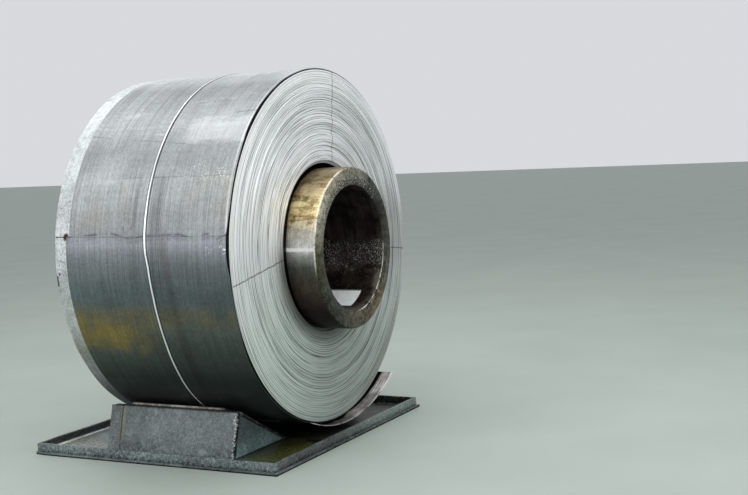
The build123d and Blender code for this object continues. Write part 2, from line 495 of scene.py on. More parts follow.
class Graph:
    """Places shader nodes in one tree and joins them."""

    def __init__(self, tree: bpy.types.NodeTree) -> None:
        """Keeps the tree to build in."""
        self.tree = tree

    def read_place(self) -> None:
        """Reads where a point of the surface lies, in the object's own metres."""
        self.point = self.value("ShaderNodeTexCoord", output="Object")
        split = self.node("ShaderNodeSeparateXYZ", {0: self.point})
        self.x, self.along, self.up = (Value(self, socket) for socket in split.outputs)

    def feed(self, socket: Socket, value: object) -> None:
        """Links a socket to a value, or sets its own."""
        if isinstance(value, Value):
            self.tree.links.new(value.socket, socket)
        else:
            socket.default_value = value

    def node(self, kind: str, inputs: dict | None = None, **settings: object) -> bpy.types.Node:
        """Adds a node.

        Args:
            kind: the node's type name.
            inputs: values for its inputs, by name or number.
            settings: the node's own properties.

        Returns:
            The new node.
        """
        made = self.tree.nodes.new(kind)
        for key, value in settings.items():
            setattr(made, key, value)
        for key, value in (inputs or {}).items():
            self.feed(made.inputs[key], value)
        return made

    def value(
        self, kind: str, inputs: dict | None = None, output: int | str = 0, **settings: object
    ) -> Value:
        """One output of a new node."""
        return Value(self, self.node(kind, inputs, **settings).outputs[output])

    def math(
        self, operation: str, first: Number, second: Number = 0.0, clamp: bool = False
    ) -> Value:
        """The result of one arithmetic step."""
        inputs = {0: first, 1: second}
        return self.value("ShaderNodeMath", inputs, operation=operation, use_clamp=clamp)

    def distance(self, first: Value, second: Value) -> Value:
        """Length of a line from its two legs."""
        return self.math("SQRT", first * first + second * second)

    def most(self, *values: Number) -> Value:
        """The largest of several masks."""
        largest = values[0]
        for value in values[1:]:
            largest = self.math("MAXIMUM", largest, value)
        return largest

    def join(self, x: Number, y: Number, z: Number) -> Value:
        """A vector from three values."""
        return self.value("ShaderNodeCombineXYZ", {0: x, 1: y, 2: z})

    def scaled(self, scale: Sequence[float], shift: Sequence[float] = (0, 0, 0)) -> Value:
        """The surface point, moved by the shift after each axis is scaled."""
        inputs = {"Vector": self.point, "Scale": scale, "Location": shift}
        return self.value("ShaderNodeMapping", inputs)

    def noise(
        self, scale: Number, detail: float = 3.0, rough: float = 0.55, point: Value | None = None
    ) -> Value:
        """Soft noise of about 0.2 to 0.8.

        Args:
            scale: how many waves a metre has.
            detail: how many finer waves lie on them.
            rough: how strong the finer ones are.
            point: where it is read, if not at the surface point.

        Returns:
            The noise.
        """
        place = self.point if point is None else point
        inputs = {"Vector": place, "Scale": scale, "Detail": detail, "Roughness": rough}
        return self.value("ShaderNodeTexNoise", inputs, "Fac")

    def mix(self, factor: Number, first: object, second: object, blend: str = "MIX") -> Value:
        """One colour laid over another.

        Args:
            factor: how much of the second shows.
            first: colour below.
            second: colour above.
            blend: how they join.

        Returns:
            The mixed colour.
        """
        made = self.node("ShaderNodeMix", data_type="RGBA", blend_type=blend, clamp_result=True)
        for number, value in ((0, factor), (6, first), (7, second)):
            self.feed(made.inputs[number], value)
        return Value(self, made.outputs[2])

    def effect(self, tree: bpy.types.NodeTree, **inputs: Number) -> list[Value]:
        """What a placed node group puts out.

        Args:
            tree: the group.
            inputs: values for its inputs; underscores stand for spaces.

        Returns:
            Its outputs in order.
        """
        made = self.node("ShaderNodeGroup", node_tree=tree)
        for key, value in inputs.items():
            self.feed(made.inputs[key.replace("_", " ")], value)
        return [Value(self, socket) for socket in made.outputs]


class GroupGraph(Graph):
    """The inside of a node group whose inputs and outputs are numbers."""

    def __init__(self, name: str, inputs: dict[str, float], outputs: Sequence[str]) -> None:
        """Starts the group.

        Args:
            name: the group's name.
            inputs: input names and their default values.
            outputs: output names.
        """
        super().__init__(bpy.data.node_groups.new(name, "ShaderNodeTree"))
        for key, value in inputs.items():
            socket = self.tree.interface.new_socket(
                key, in_out="INPUT", socket_type="NodeSocketFloat"
            )
            socket.default_value = value
        for key in outputs:
            self.tree.interface.new_socket(key, in_out="OUTPUT", socket_type="NodeSocketFloat")
        entry = self.tree.nodes.new("NodeGroupInput")
        self.given = {key: Value(self, entry.outputs[key]) for key in inputs}
        self.outlet = self.tree.nodes.new("NodeGroupOutput")
        self.read_place()

    def give(self, *values: Value) -> bpy.types.NodeTree:
        """Joins the values to the outputs in order and hands the finished group over."""
        for value, socket in zip(values, self.outlet.inputs):
            self.feed(socket, value)
        return self.tree


class Effects:
    """Node groups that several finishes share."""

    def __init__(self) -> None:
        """Builds each group once."""
        self.around = self._around()
        self.turns = self._turns()
        self.streaks = self._streaks()
        self.speckle = self._speckle()
        self.mark = self._mark()

    def _around(self) -> bpy.types.NodeTree:
        """Radius, height over the axis as a share of the radius, and X as such a share.

        Returns:
            The group.
        """
        outputs = ("Radius", "Rise", "Right")
        graph = GroupGraph("around_axis", {"Axis Height": AXIS_Z}, outputs)
        up = graph.up - graph.given["Axis Height"]
        radius = graph.distance(graph.x, up)
        return graph.give(radius, up / radius, graph.x / radius)

    def _turns(self) -> bpy.types.NodeTree:
        """Lines of wound strip on an end face: they follow the radius and wander slowly.

        Returns:
            The group.
        """
        inputs = {"Density": 300.0, "Drift": 1.2, "Seed": 0.0}
        graph = GroupGraph("turn_lines", inputs, ("Lines",))
        density, drift, seed = graph.given.values()
        radius, rise, right = graph.effect(self.around)
        vector = graph.join(radius * density + seed, rise * drift, right * drift)
        return graph.give(graph.noise(1.0, 3.0, 0.9, vector))

    def _streaks(self) -> bpy.types.NodeTree:
        """Drawn-out noise: its own scale along the axis and across it.

        Returns:
            The group.
        """
        inputs = {"Along": 200.0, "Round": 3.0, "Seed": 0.0}
        graph = GroupGraph("streaks", inputs, ("Streaks",))
        along, across, seed = graph.given.values()
        vector = graph.join(graph.x * across + seed, graph.along * along, graph.up * across)
        return graph.give(graph.noise(1.0, 4.0, 0.62, vector))

    def _speckle(self) -> bpy.types.NodeTree:
        """Small spots where noise passes a threshold.

        Returns:
            The group.
        """
        inputs = {"Size": 400.0, "Threshold": 0.62, "Softness": 0.05}
        graph = GroupGraph("speckle", inputs, ("Spots",))
        size, threshold, softness = graph.given.values()
        over = graph.noise(size, 3.0, 0.7) - threshold
        return graph.give(graph.math("DIVIDE", over, softness, clamp=True))

    def _mark(self) -> bpy.types.NodeTree:
        """Thin drawn line between two points (x, height over the axis) of an end face.

        Returns:
            The group.
        """
        inputs = {"Start X": 0.0, "Start Z": 0.0, "End X": 1.0, "End Z": 0.0, "Width": 0.002}
        graph = GroupGraph("drawn_line", inputs, ("Line",))
        start_x, start_z, end_x, end_z, width = graph.given.values()
        run_x, run_z = end_x - start_x, end_z - start_z
        off_x, off_z = graph.x - start_x, graph.up - AXIS_Z - start_z
        dot, square = off_x * run_x + off_z * run_z, run_x * run_x + run_z * run_z
        share = graph.math("DIVIDE", dot, square, clamp=True)
        away = graph.distance(off_x - share * run_x, off_z - share * run_z)
        return graph.give(graph.math("SUBTRACT", 1.0, away / width, clamp=True))


def grey(value: float) -> Colour:
    """A neutral grey."""
    return (value, value, value, 1.0)


def metal(value: float, red: float = 0.95, blue: float = 1.01) -> Colour:
    """Bare strip's grey: shares of red and of blue against its green."""
    return (value * red, value, value * blue, 1.0)


class Coat(Graph):
    """A material under work: its graph, and the colour that its layers build up."""

    def __init__(self, finish: Finish, effects: Effects) -> None:
        """Makes the material.

        Args:
            finish: how its shader is set where nothing drives it.
            effects: the shared node groups.
        """
        self.finish, self.effects = finish, effects
        self.material = bpy.data.materials.new(finish.name)
        self.material.use_nodes = True
        super().__init__(self.material.node_tree)
        self.read_place()
        around = self.effect(effects.around, Axis_Height=finish.axis_height)
        self.radius, self.rise, self.right = around
        self.left = self.right.fade(0.05, -0.05)
        self.shader = self.tree.nodes["Principled BSDF"]
        self.set("Metallic", finish.metallic)
        self.set("Roughness", finish.roughness)
        self.colour: Value | Colour = grey(1.0)

    def set(self, socket: str, value: Number) -> None:
        """Joins or sets one input of the shader."""
        self.feed(self.shader.inputs[socket], value)

    def lay(self, over: object, mask: Number) -> None:
        """Lays a colour over the one so far, as far as the mask goes."""
        self.colour = self.mix(mask, self.colour, over)

    def dim(self, by: object, mask: Number) -> None:
        """Multiplies the colour so far by another, as far as the mask goes."""
        self.colour = self.mix(mask, self.colour, by, "MULTIPLY")

    def wear(self, mask: Value, low: float, high: float, darkest: float, amount: float) -> None:
        """Darkens the colour so far where a mask is low.

        Args:
            mask: value that decides.
            low: value at which it is darkest.
            high: value from which it is untouched.
            darkest: factor at low.
            amount: how much of the effect shows.
        """
        self.dim(mask.ramp(((low, grey(darkest)), (high, grey(1.0)))), amount)

    def by_angle(self, tones: Sequence[tuple[float, Colour]]) -> Value:
        """A colour that changes round the axis.

        Args:
            tones: pairs of an angle from -90 to 270 degrees and its colour.

        Returns:
            The colour.
        """
        share = self.rise * 0.5 + 0.5
        sides = []
        for low, high in ((-90, 90), (90, 270)):
            turns = [(math.sin(math.radians(a)), c) for a, c in tones if low <= a <= high]
            sides.append(share.ramp(sorted(((1 + s) / 2, c) for s, c in turns)))
        return self.mix(self.right.fade(0.12, -0.12), *sides)

    def spots(self, size: float, threshold: float, softness: float) -> Value:
        """Small spots, fewer for a higher threshold."""
        inputs = {"Size": size, "Threshold": threshold, "Softness": softness}
        return self.effect(self.effects.speckle, **inputs)[0]

    def streaks(self, along: float, across: float, seed: float = 0.0) -> Value:
        """Drawn-out noise: waves a metre along the axis and across it."""
        return self.effect(self.effects.streaks, Along=along, Round=across, Seed=seed)[0]

    def turn_lines(self, density: float, drift: float, seed: float = 0.0) -> Value:
        """Lines of wound strip on an end face."""
        return self.effect(self.effects.turns, Density=density, Drift=drift, Seed=seed)[0]

    def behind_strap(self) -> Value:
        """How far a point of the left side lies behind the strap's middle, in metres."""
        stops = [(math.sin(math.radians(a)), y * MM) for a, y in STRAP_PATH if 95 < a < 265]
        return self.along - (self.rise.follow(sorted(stops)) + (STRAP_LOW.y + STRAP_HIGH.y) / 2)

    def done(self, relief: Value, rough: Value | None = None) -> None:
        """Joins the colour, the relief and where given the roughness to the shader.

        Args:
            relief: what stands out of the surface.
            rough: the roughness so far.
        """
        self.set("Base Color", self.colour)
        if rough is not None:
            self.set("Roughness", rough)
        depth = {"Strength": self.finish.bump, "Distance": self.finish.bump_distance}
        self.set("Normal", self.value("ShaderNodeBump", {"Height": relief, **depth}))


@dataclass(frozen=True)
class Finish:
    """A material and how its shader is set where nothing drives it."""

    name: str
    metallic: float = 0.0
    roughness: float = 0.5
    bump: float = 0.3
    bump_distance: float = 0.5 * MM
    axis_height: float = AXIS_Z

    def material(self, effects: Effects) -> Material:
        """Builds the material from the shared groups.

        Args:
            effects: the shared node groups.

        Returns:
            The finished material.
        """
        coat = Coat(self, effects)
        self.paint(coat)
        return coat.material

    def paint(self, coat: Coat) -> None:
        """Lays the colours, the relief and the sheen; each finish has its own way."""
        raise NotImplementedError


@dataclass(frozen=True)
class TurnsFinish(Finish):
    """Cut edges of the wound strip on the coil's ends, and the strip beside the loose turn."""

    pale: Colour = (0.9, 0.925, 0.93, 1)
    mid: Colour = (0.6, 0.62, 0.62, 1)
    dark: Colour = (0.19, 0.195, 0.19, 1)
    green: Colour = (0.8, 0.88, 0.83, 1)
    shadow: Colour = (0.16, 0.14, 0.1, 1)
    gap: Colour = (0.012, 0.011, 0.01, 1)
    pitch: float = 9.4 * MM
    # Brightness of the end face at each angle round the axis: painted light and shade.
    lights: tuple[Point2, ...] = (
        (-90, 0.63), (-60, 0.67), (-30, 0.74), (-10, 0.58), (8, 0.54), (30, 0.84), (60, 0.79),
        (90, 0.89), (120, 0.84), (150, 1.0), (180, 0.91), (210, 1.0), (240, 0.88), (270, 0.63),
    )
    scratches: tuple[tuple[Point2, Point2], ...] = (
        ((-0.347, -0.024), (-0.704, -0.085)), ((0.585, -0.063), (0.716, -0.079)),
        ((0.073, 0.335), (0.113, 0.712)),
    )

    def paint(self, coat: Coat) -> None:
        """Lays its colours, relief and sheen.

        Args:
            coat: the material under work.
        """
        fine = coat.turn_lines(240.0, 0.8)
        sway = coat.turn_lines(26.0, 0.7, 9.0)
        wave = coat.math("SINE", coat.radius * (math.tau / self.pitch) + sway * 16.0)
        tone = fine * 0.62 + 0.19 + wave * 0.042
        coat.colour = tone.ramp(
            ((0.4, self.dark), (0.455, self.mid), (0.51, self.pale), (0.57, grey(1.0)))
        )
        # Painted light and shade round the axis.
        coat.dim(coat.by_angle([(a, grey(v)) for a, v in self.lights]), 1.0)
        # Darker and greener towards the bottom of the face; the darkening is painted shade.
        low = coat.rise.fade(0.1, -0.9)
        coat.dim(self.green, low)
        coat.dim(grey(0.62), low * 0.5)
        # Lighter outer turns on the upper half: painted highlight.
        rim = coat.radius.fade(0.678, 0.69) * coat.rise.fade(0.0, 0.3)
        coat.lay(grey(0.97), rim * 0.35)
        inner = coat.radius.fade(0.44, 0.345) * coat.rise.fade(0.55, -0.25)
        coat.dim(self.shadow, inner * 0.85)
        lines = coat.most(*(self.scratch(coat, *ends) for ends in self.scratches))
        coat.lay(grey(0.05), lines * fine.fade(0.32, 0.46) * coat.along.fade(0.0, -0.1) * 0.88)
        under_mark = (
            coat.along.within(0.235, FACE_BACK - 4 * MM, 2 * MM)
            * coat.up.band(SEAM_Z, 16 * MM, 2 * MM)
            * coat.radius.fade(COIL_RADIUS - 6 * MM, COIL_RADIUS - 5 * MM)
        )
        coat.lay((0.035, 0.016, 0.012, 1), under_mark)
        # Near black on the bore's wall, laid below with the groove: painted shade.
        bore_edge = coat.radius.fade(COIL_BORE + 1.8 * MM, COIL_BORE + 0.4 * MM)
        # Recessed innermost turns made darker: painted shade.
        coat.dim(grey(0.62), coat.radius.fade(0.351, 0.349))
        right_low = coat.right.fade(0.15, 0.45) * coat.rise.fade(-0.3, -0.55)
        coat.dim((0.8, 0.72, 0.7, 1), right_low * coat.radius.fade(0.672, 0.69))
        # Pale line along the outer turns low on the right: painted highlight.
        coat.lay(grey(0.85), right_low * coat.radius.within(0.718, 0.7215, 1 * MM) * 0.75)
        # Near black in the groove at the front edge, under the loose turn's edge: painted shade.
        groove = (
            coat.radius.fade(0.705, 0.712)
            * coat.along.fade(FACE_FRONT + 0.8 * MM, FACE_FRONT + 2.4 * MM)
        )
        coat.lay(self.gap, coat.most(bore_edge, groove))
        rough = fine * 0.25 + (self.roughness - 0.12)
        coat.done(fine, rough)

    def scratch(self, coat: Coat, start: Point2, end: Point2) -> Value:
        """Mask of one line drawn across the turns."""
        ends = {"Start_X": start[0], "Start_Z": start[1], "End_X": end[0], "End_Z": end[1]}
        return coat.effect(coat.effects.mark, **ends, Width=4 * MM)[0]


@dataclass(frozen=True)
class SheetFinish(Finish):
    """Flat side of the strip: mill-grey with drawn lines, dried oil stains and handling marks,
    under painted light, shade and reflections.
    """

    # Grey of the flank at each angle, with shares of red and blue: its brightness, high at the top,
    # near black below and banded between, is painted light, shade and reflection.
    tones: tuple[tuple[float, Colour], ...] = (
        (-90, metal(0.018)), (-60, metal(0.07)), (-30, metal(0.15)), (0, metal(0.25)),
        (30, metal(0.4)), (60, metal(0.5)), (90, metal(0.72)), (105, metal(0.625)),
        (115, metal(0.39)), (125, metal(0.39)), (135, metal(0.475)), (145, metal(0.43)),
        (155, metal(0.57)), (165, metal(0.277)), (170, metal(0.232, 0.94, 1.03)),
        (175, metal(0.25, 0.93, 1.08)), (180, metal(0.19, 0.9, 1.06)),
        (190, metal(0.168, 0.78, 1.04)), (200, metal(0.182, 0.86, 0.9)),
        (210, metal(0.108, 0.86, 0.98)), (220, metal(0.048, 0.8, 1.02)),
        (231, metal(0.062, 0.84, 1.0)), (270, metal(0.018)),
    )
    seam_path: tuple[Point2, ...] = (
        (-0.49, 0.15), (-0.441, 0.124), (-0.402, 0.152), (-0.332, 0.133), (-0.276, 0.15),
        (-0.203, 0.147), (-0.113, 0.142), (-0.047, 0.131), (-0.013, 0.141), (0.04, 0.16),
        (0.081, 0.156), (0.26, 0.14),
    )

    def paint(self, coat: Coat) -> None:
        """Lays its colours, relief and sheen.

        Args:
            coat: the material under work.
        """
        lines = coat.streaks(330.0, 1.6)
        blotch = coat.noise(6.0, 6.0, 0.66)
        grain = coat.noise(90.0, 4.0, 0.7)
        coat.colour = coat.by_angle(self.tones)
        self.oiled(coat, blotch)
        self.worn(coat, lines, blotch, grain)
        self.handled(coat, lines)
        self.seamed(coat, blotch)
        rough = blotch * 0.25 + (self.roughness - 0.12)
        height = lines * 0.6 + grain * 0.4
        coat.done(height, rough)

    def worn(self, coat: Coat, lines: Value, blotch: Value, grain: Value) -> None:
        """Lays the drawn lines and the uneven tone over the plain metal.

        Args:
            coat: the material under work.
            lines: the drawn lines.
            blotch: the broad blotches.
            grain: the fine grain.
        """
        wide = coat.streaks(52.0, 2.6, 4.0)
        cross = coat.streaks(3.5, 60.0, 8.0)
        coat.wear(lines, 0.36, 0.6, 0.46, 0.68)
        coat.wear(wide, 0.36, 0.6, 0.72, 0.4)
        coat.wear(cross, 0.36, 0.58, 0.7, 0.25)
        coat.wear(blotch, 0.34, 0.6, 0.64, 0.6)
        coat.wear(grain, 0.36, 0.62, 0.5, 0.48)
        coat.dim(grey(1.16), coat.along.fade(-0.1, 0.15))

    def oiled(self, coat: Coat, blotch: Value) -> None:
        """Lays ochre stains of dried oil over the lower half, and a faint dark olive tint lower
        down, which is painted shade.

        Args:
            coat: the material under work.
            blotch: the broad blotches.
        """
        patchy = blotch.fade(0.34, 0.56)
        ragged = coat.noise(11.0, 5.0, 0.65)
        uneven = coat.rise + (ragged - 0.5) * 0.22
        reach = coat.along + (ragged - 0.5) * 0.3
        ochre = uneven.band(-0.385, 0.02, 0.12) * reach.fade(-0.22, 0.12) * coat.left
        coat.lay((0.34, 0.245, 0.055, 1), ochre * (patchy * 0.5 + 0.36))
        thin = coat.rise.band(-0.285, 0.02, 0.06) * coat.left
        coat.lay((0.25, 0.195, 0.075, 1), thin * patchy * 0.4)
        # Faint dark olive tint low on the flank: painted shade.
        coat.lay((0.08, 0.118, 0.088, 1), coat.rise.band(-0.62, 0.1, 0.22) * 0.2)

    def handled(self, coat: Coat, lines: Value) -> None:
        """Lays rubbed bands, thin lines and specks over the upper half, painted highlights there,
        and the painted shadow beside the strap.

        Args:
            coat: the material under work.
            lines: the drawn lines.
        """
        soft = coat.noise(1.6, 5.0, 0.62, coat.scaled((9.0, 3.0, 9.0), (4.0, 2.0, 7.0)))
        warm = coat.noise(5.0, 3.0, 0.5)
        coat.dim(
            (1.0, 0.985, 0.92, 1),
            warm.fade(0.46, 0.62) * coat.rise.within(0.2, 0.44, 0.05) * coat.left,
        )
        # A lighter band high on the left side and lighter patches near the top: painted highlights.
        edge = coat.rise + soft * 0.16 - 0.08
        bright = edge.within(0.625, 0.715, 0.02) * coat.along.fade(-0.19, -0.24) * coat.left
        coat.lay(grey(0.8), bright * 0.16)
        coat.lay(grey(0.8), soft.fade(0.58, 0.72) * coat.rise.fade(0.45, 0.7) * 0.22)
        for low, high, near, far, by, amount in (
            (-0.3, 0.44, -0.203, -0.136, 0.62, 0.62), (0.16, 0.36, -0.196, -0.172, 0.62, 0.5),
            (0.2, 0.37, -0.074, -0.058, 0.62, 0.45), (0.182, 0.19, -0.02, -0.012, 0.45, 0.6),
            (0.182, 0.192, -0.061, -0.053, 0.45, 0.6), (0.16, 0.72, -0.474, -0.468, 0.72, 0.45),
            (0.86, 0.96, 0.188, 0.191, 0.45, 0.6), (0.86, 0.96, 0.206, 0.209, 0.45, 0.6),
        ):
            across = coat.along.within(near, far, 3 * MM)
            zone = across * coat.rise.within(low, high, 0.012) * coat.left
            coat.dim(grey(by), zone * lines.fade(0.7, 0.46) * amount)
        # Light line near the front edge of the sheet: painted highlight.
        edge_light = (
            coat.along.within(-0.484, -0.48, 2 * MM) * coat.rise.fade(0.12, 0.2) * coat.left
        )
        coat.lay(grey(0.85), edge_light * 0.3)
        first = coat.rise + coat.along * -0.133 - 0.638
        first = first.band(0.0, 0.001, 0.003) * coat.along.fade(-0.3, -0.24)
        second = coat.rise.band(0.441, 0.001, 0.003) * coat.along.fade(0.08, 0.03)
        crease = coat.rise.band(0.76, 0.002, 0.004) * coat.along.fade(-0.39, -0.41)
        thin = coat.most(first, second, crease) * soft.fade(0.3, 0.48) * coat.left
        coat.dim(grey(0.35), thin * 0.38)
        # Dark bands on both sides of the strap, stronger on its front side: painted shadow of the
        # strap.
        beside = coat.behind_strap()
        rubbed = coat.most(
            beside.band(-7.6 * MM, 1.6 * MM, 1.6 * MM),
            beside.band(7.4 * MM, 1.2 * MM, 1.6 * MM) * 0.55,
        )
        coat.dim(grey(0.22), rubbed * coat.left * 0.75)
        smear = (
            beside.band(-84 * MM, 8 * MM, 18 * MM) * coat.rise.within(-0.72, 0.1, 0.12) * coat.left
        )
        coat.dim((0.74, 0.68, 0.68, 1), smear * lines.fade(0.3, 0.56))
        self.specked(coat)

    def specked(self, coat: Coat) -> None:
        """Lays the small dark and light specks.

        Args:
            coat: the material under work.
        """
        dark = coat.spots(190.0, 0.585, 0.03)
        zone = coat.rise.within(0.1, 0.24, 0.05) * coat.along.fade(0.08, 0.2) * coat.left
        coat.lay((0.09, 0.085, 0.1, 1), dark * zone * 0.8)
        light = coat.spots(150.0, 0.575, 0.05)
        patches = coat.noise(22.0, 3.0, 0.6).fade(0.46, 0.58)
        upper = coat.rise.within(0.44, 0.5, 0.03) * coat.along.within(-0.48, -0.32, 0.08)
        lower = coat.rise.within(0.06, 0.1, 0.02) * coat.along.within(-0.485, -0.41, 0.03)
        mask = coat.most(upper, lower) * patches
        coat.lay(grey(0.88), light * mask * coat.left * 0.85)

    def seamed(self, coat: Coat, blotch: Value) -> None:
        """Lays the uneven dark line of the cross seam and the purple tint below it.

        Args:
            coat: the material under work.
            blotch: the broad blotches.
        """
        off = coat.rise - coat.along.follow(self.seam_path)
        broken = coat.noise(1.0, 4.0, 0.7, coat.scaled((2.0, 16.0, 2.0)))
        purple = off.within(-0.085, 0.004, 0.02) * coat.left
        coat.dim(
            (0.98, 0.975, 1.0, 1), purple * coat.along.fade(0.05, -0.15) * blotch.fade(0.36, 0.6)
        )
        haze = off.within(-0.022, 0.006, 0.012) * broken.fade(0.38, 0.58) * coat.left
        coat.dim((0.66, 0.65, 0.69, 1), haze * 0.65)
        line = off.band(0.0, 0.0015, 0.0045) * broken.fade(0.4, 0.56) * coat.left
        coat.lay((0.044, 0.042, 0.05, 1), line * 0.8)


@dataclass(frozen=True)
class TailFinish(Finish):
    """Clean inner side of the strip, bright and faintly brushed, in shade under the coil."""

    bright: Colour = (0.64, 0.605, 0.56, 1)
    dull: Colour = (0.18, 0.17, 0.156, 1)
    shade: Colour = (0.008, 0.007, 0.007, 1)
    # White of the painted glints and of the painted highlight along the front edge.
    edge: Colour = (1.0, 0.98, 0.95, 1)
    # Brightness by height, multiplied in: painted light and shade with painted highlight bands.
    tones: tuple[Point2, ...] = (
        (-1.0, 0.42), (-0.985, 0.4), (-0.972, 0.5), (-0.96, 0.95), (-0.948, 0.95), (-0.93, 0.5),
        (-0.88, 0.56), (-0.855, 0.95), (-0.83, 1.32), (-0.8, 1.28), (-0.76, 1.08),
    )

    def paint(self, coat: Coat) -> None:
        """Lays its colours, relief and sheen.

        Args:
            coat: the material under work.
        """
        lines = coat.streaks(210.0, 9.0, 12.0)
        patch = coat.noise(24.0, 4.0, 0.6)
        tone = lines * 0.6 + patch * 0.4
        coat.colour = coat.mix(tone.fade(0.4, 0.57), self.dull, self.bright)
        by_rise = coat.rise.follow(self.tones)
        coat.dim(coat.join(by_rise, by_rise, by_rise), 1.0)
        glints = coat.rise.within(-0.85, -0.81, 0.02) * lines.fade(0.46, 0.58)
        coat.lay(self.edge, glints * 0.8)
        depth = coat.along - FACE_FRONT
        # Whiter along the front edge, most near the tip, and less metallic there further down:
        # painted highlight.
        rim = depth.fade(13 * MM, 8 * MM) * patch.fade(0.34, 0.48)
        top = coat.rise.fade(-0.86, -0.81)
        coat.lay(self.edge, rim * (top * 0.55 + 0.42))
        gap = coat.most(coat.radius - COIL_RADIUS, 4 * MM)
        facing = coat.most(coat.right, 0.12)
        reach = depth / gap * facing * 1.94
        reach = reach + coat.rise.fade(-0.955, -0.99) * 0.3
        hidden = reach.fade(0.56, 0.68)
        coat.lay(self.shade, hidden)
        coat.set("Specular IOR Level", hidden * -0.5 + 0.5)
        matt = coat.most(hidden, rim * top * 0.75)
        coat.set("Metallic", matt * -self.metallic + self.metallic)
        coat.done(tone)


@dataclass(frozen=True)
class EdgeBandFinish(Finish):
    """Pale strip that shows past the loose turn's back edge, with small rust marks."""

    # Grey of the band at each angle: its brightness is painted light and shade.
    tones: tuple[tuple[float, Colour], ...] = (
        (-90, metal(0.05)), (-30, metal(0.25)), (30, metal(0.45)), (90, metal(0.8)),
        (120, metal(0.87)), (135, metal(0.74)), (150, metal(0.89)), (165, metal(0.47)),
        (180, metal(0.66)), (190, metal(0.64)), (200, metal(0.73)), (210, metal(0.4, 0.97, 0.9)),
        (220, metal(0.42)), (230, metal(0.22)), (270, metal(0.05)),
    )
    rust: Colour = (0.08, 0.032, 0.024, 1)
    nick: Point2 = (183.3, 0.297)

    def paint(self, coat: Coat) -> None:
        """Lays its colours, relief and sheen.

        Args:
            coat: the material under work.
        """
        lines = coat.streaks(150.0, 3.0, 2.0)
        patch = coat.noise(34.0, 6.0, 0.75)
        coat.colour = coat.by_angle(self.tones)
        coat.wear(lines, 0.3, 0.62, 0.6, 0.4)
        coat.wear(patch, 0.34, 0.56, 0.42, 0.5)
        coat.wear(coat.noise(130.0, 3.0, 0.8), 0.38, 0.6, 0.5, 0.65)
        spots = coat.spots(120.0, 0.575, 0.04)
        coat.lay((0.13, 0.105, 0.095, 1), spots * coat.rise.within(-0.1, 0.3, 0.15) * 0.75)
        behind = coat.along - MARK_Y
        above = coat.up - SEAM_Z
        away = coat.distance(behind, above)
        away = away + (patch - 0.5) * (16 * MM)
        coat.lay(self.rust, away.fade(19 * MM, 11 * MM) * coat.left * 0.9)
        slit = above.band(0.0, 1.4 * MM, 1.4 * MM) * behind.fade(-2 * MM, 2 * MM) * coat.left
        coat.lay(self.rust, slit * 0.55)
        # Near black at the nick and along a short stretch of the back edge beside it.
        nick_up = AXIS_Z + COIL_RADIUS * math.sin(math.radians(self.nick[0]))
        nick = (
            coat.along.band(self.nick[1], 2 * MM, 3 * MM) * coat.up.band(nick_up, 3.5 * MM, 4 * MM)
            * coat.left
        )
        black_edge_stretch = (
            coat.along.fade(0.304, 0.307) * coat.rise.within(-0.122, -0.07, 0.006) * coat.left
        )
        coat.lay((0.02, 0.02, 0.02, 1), coat.most(nick, black_edge_stretch) * 0.9)
        coat.done(patch)


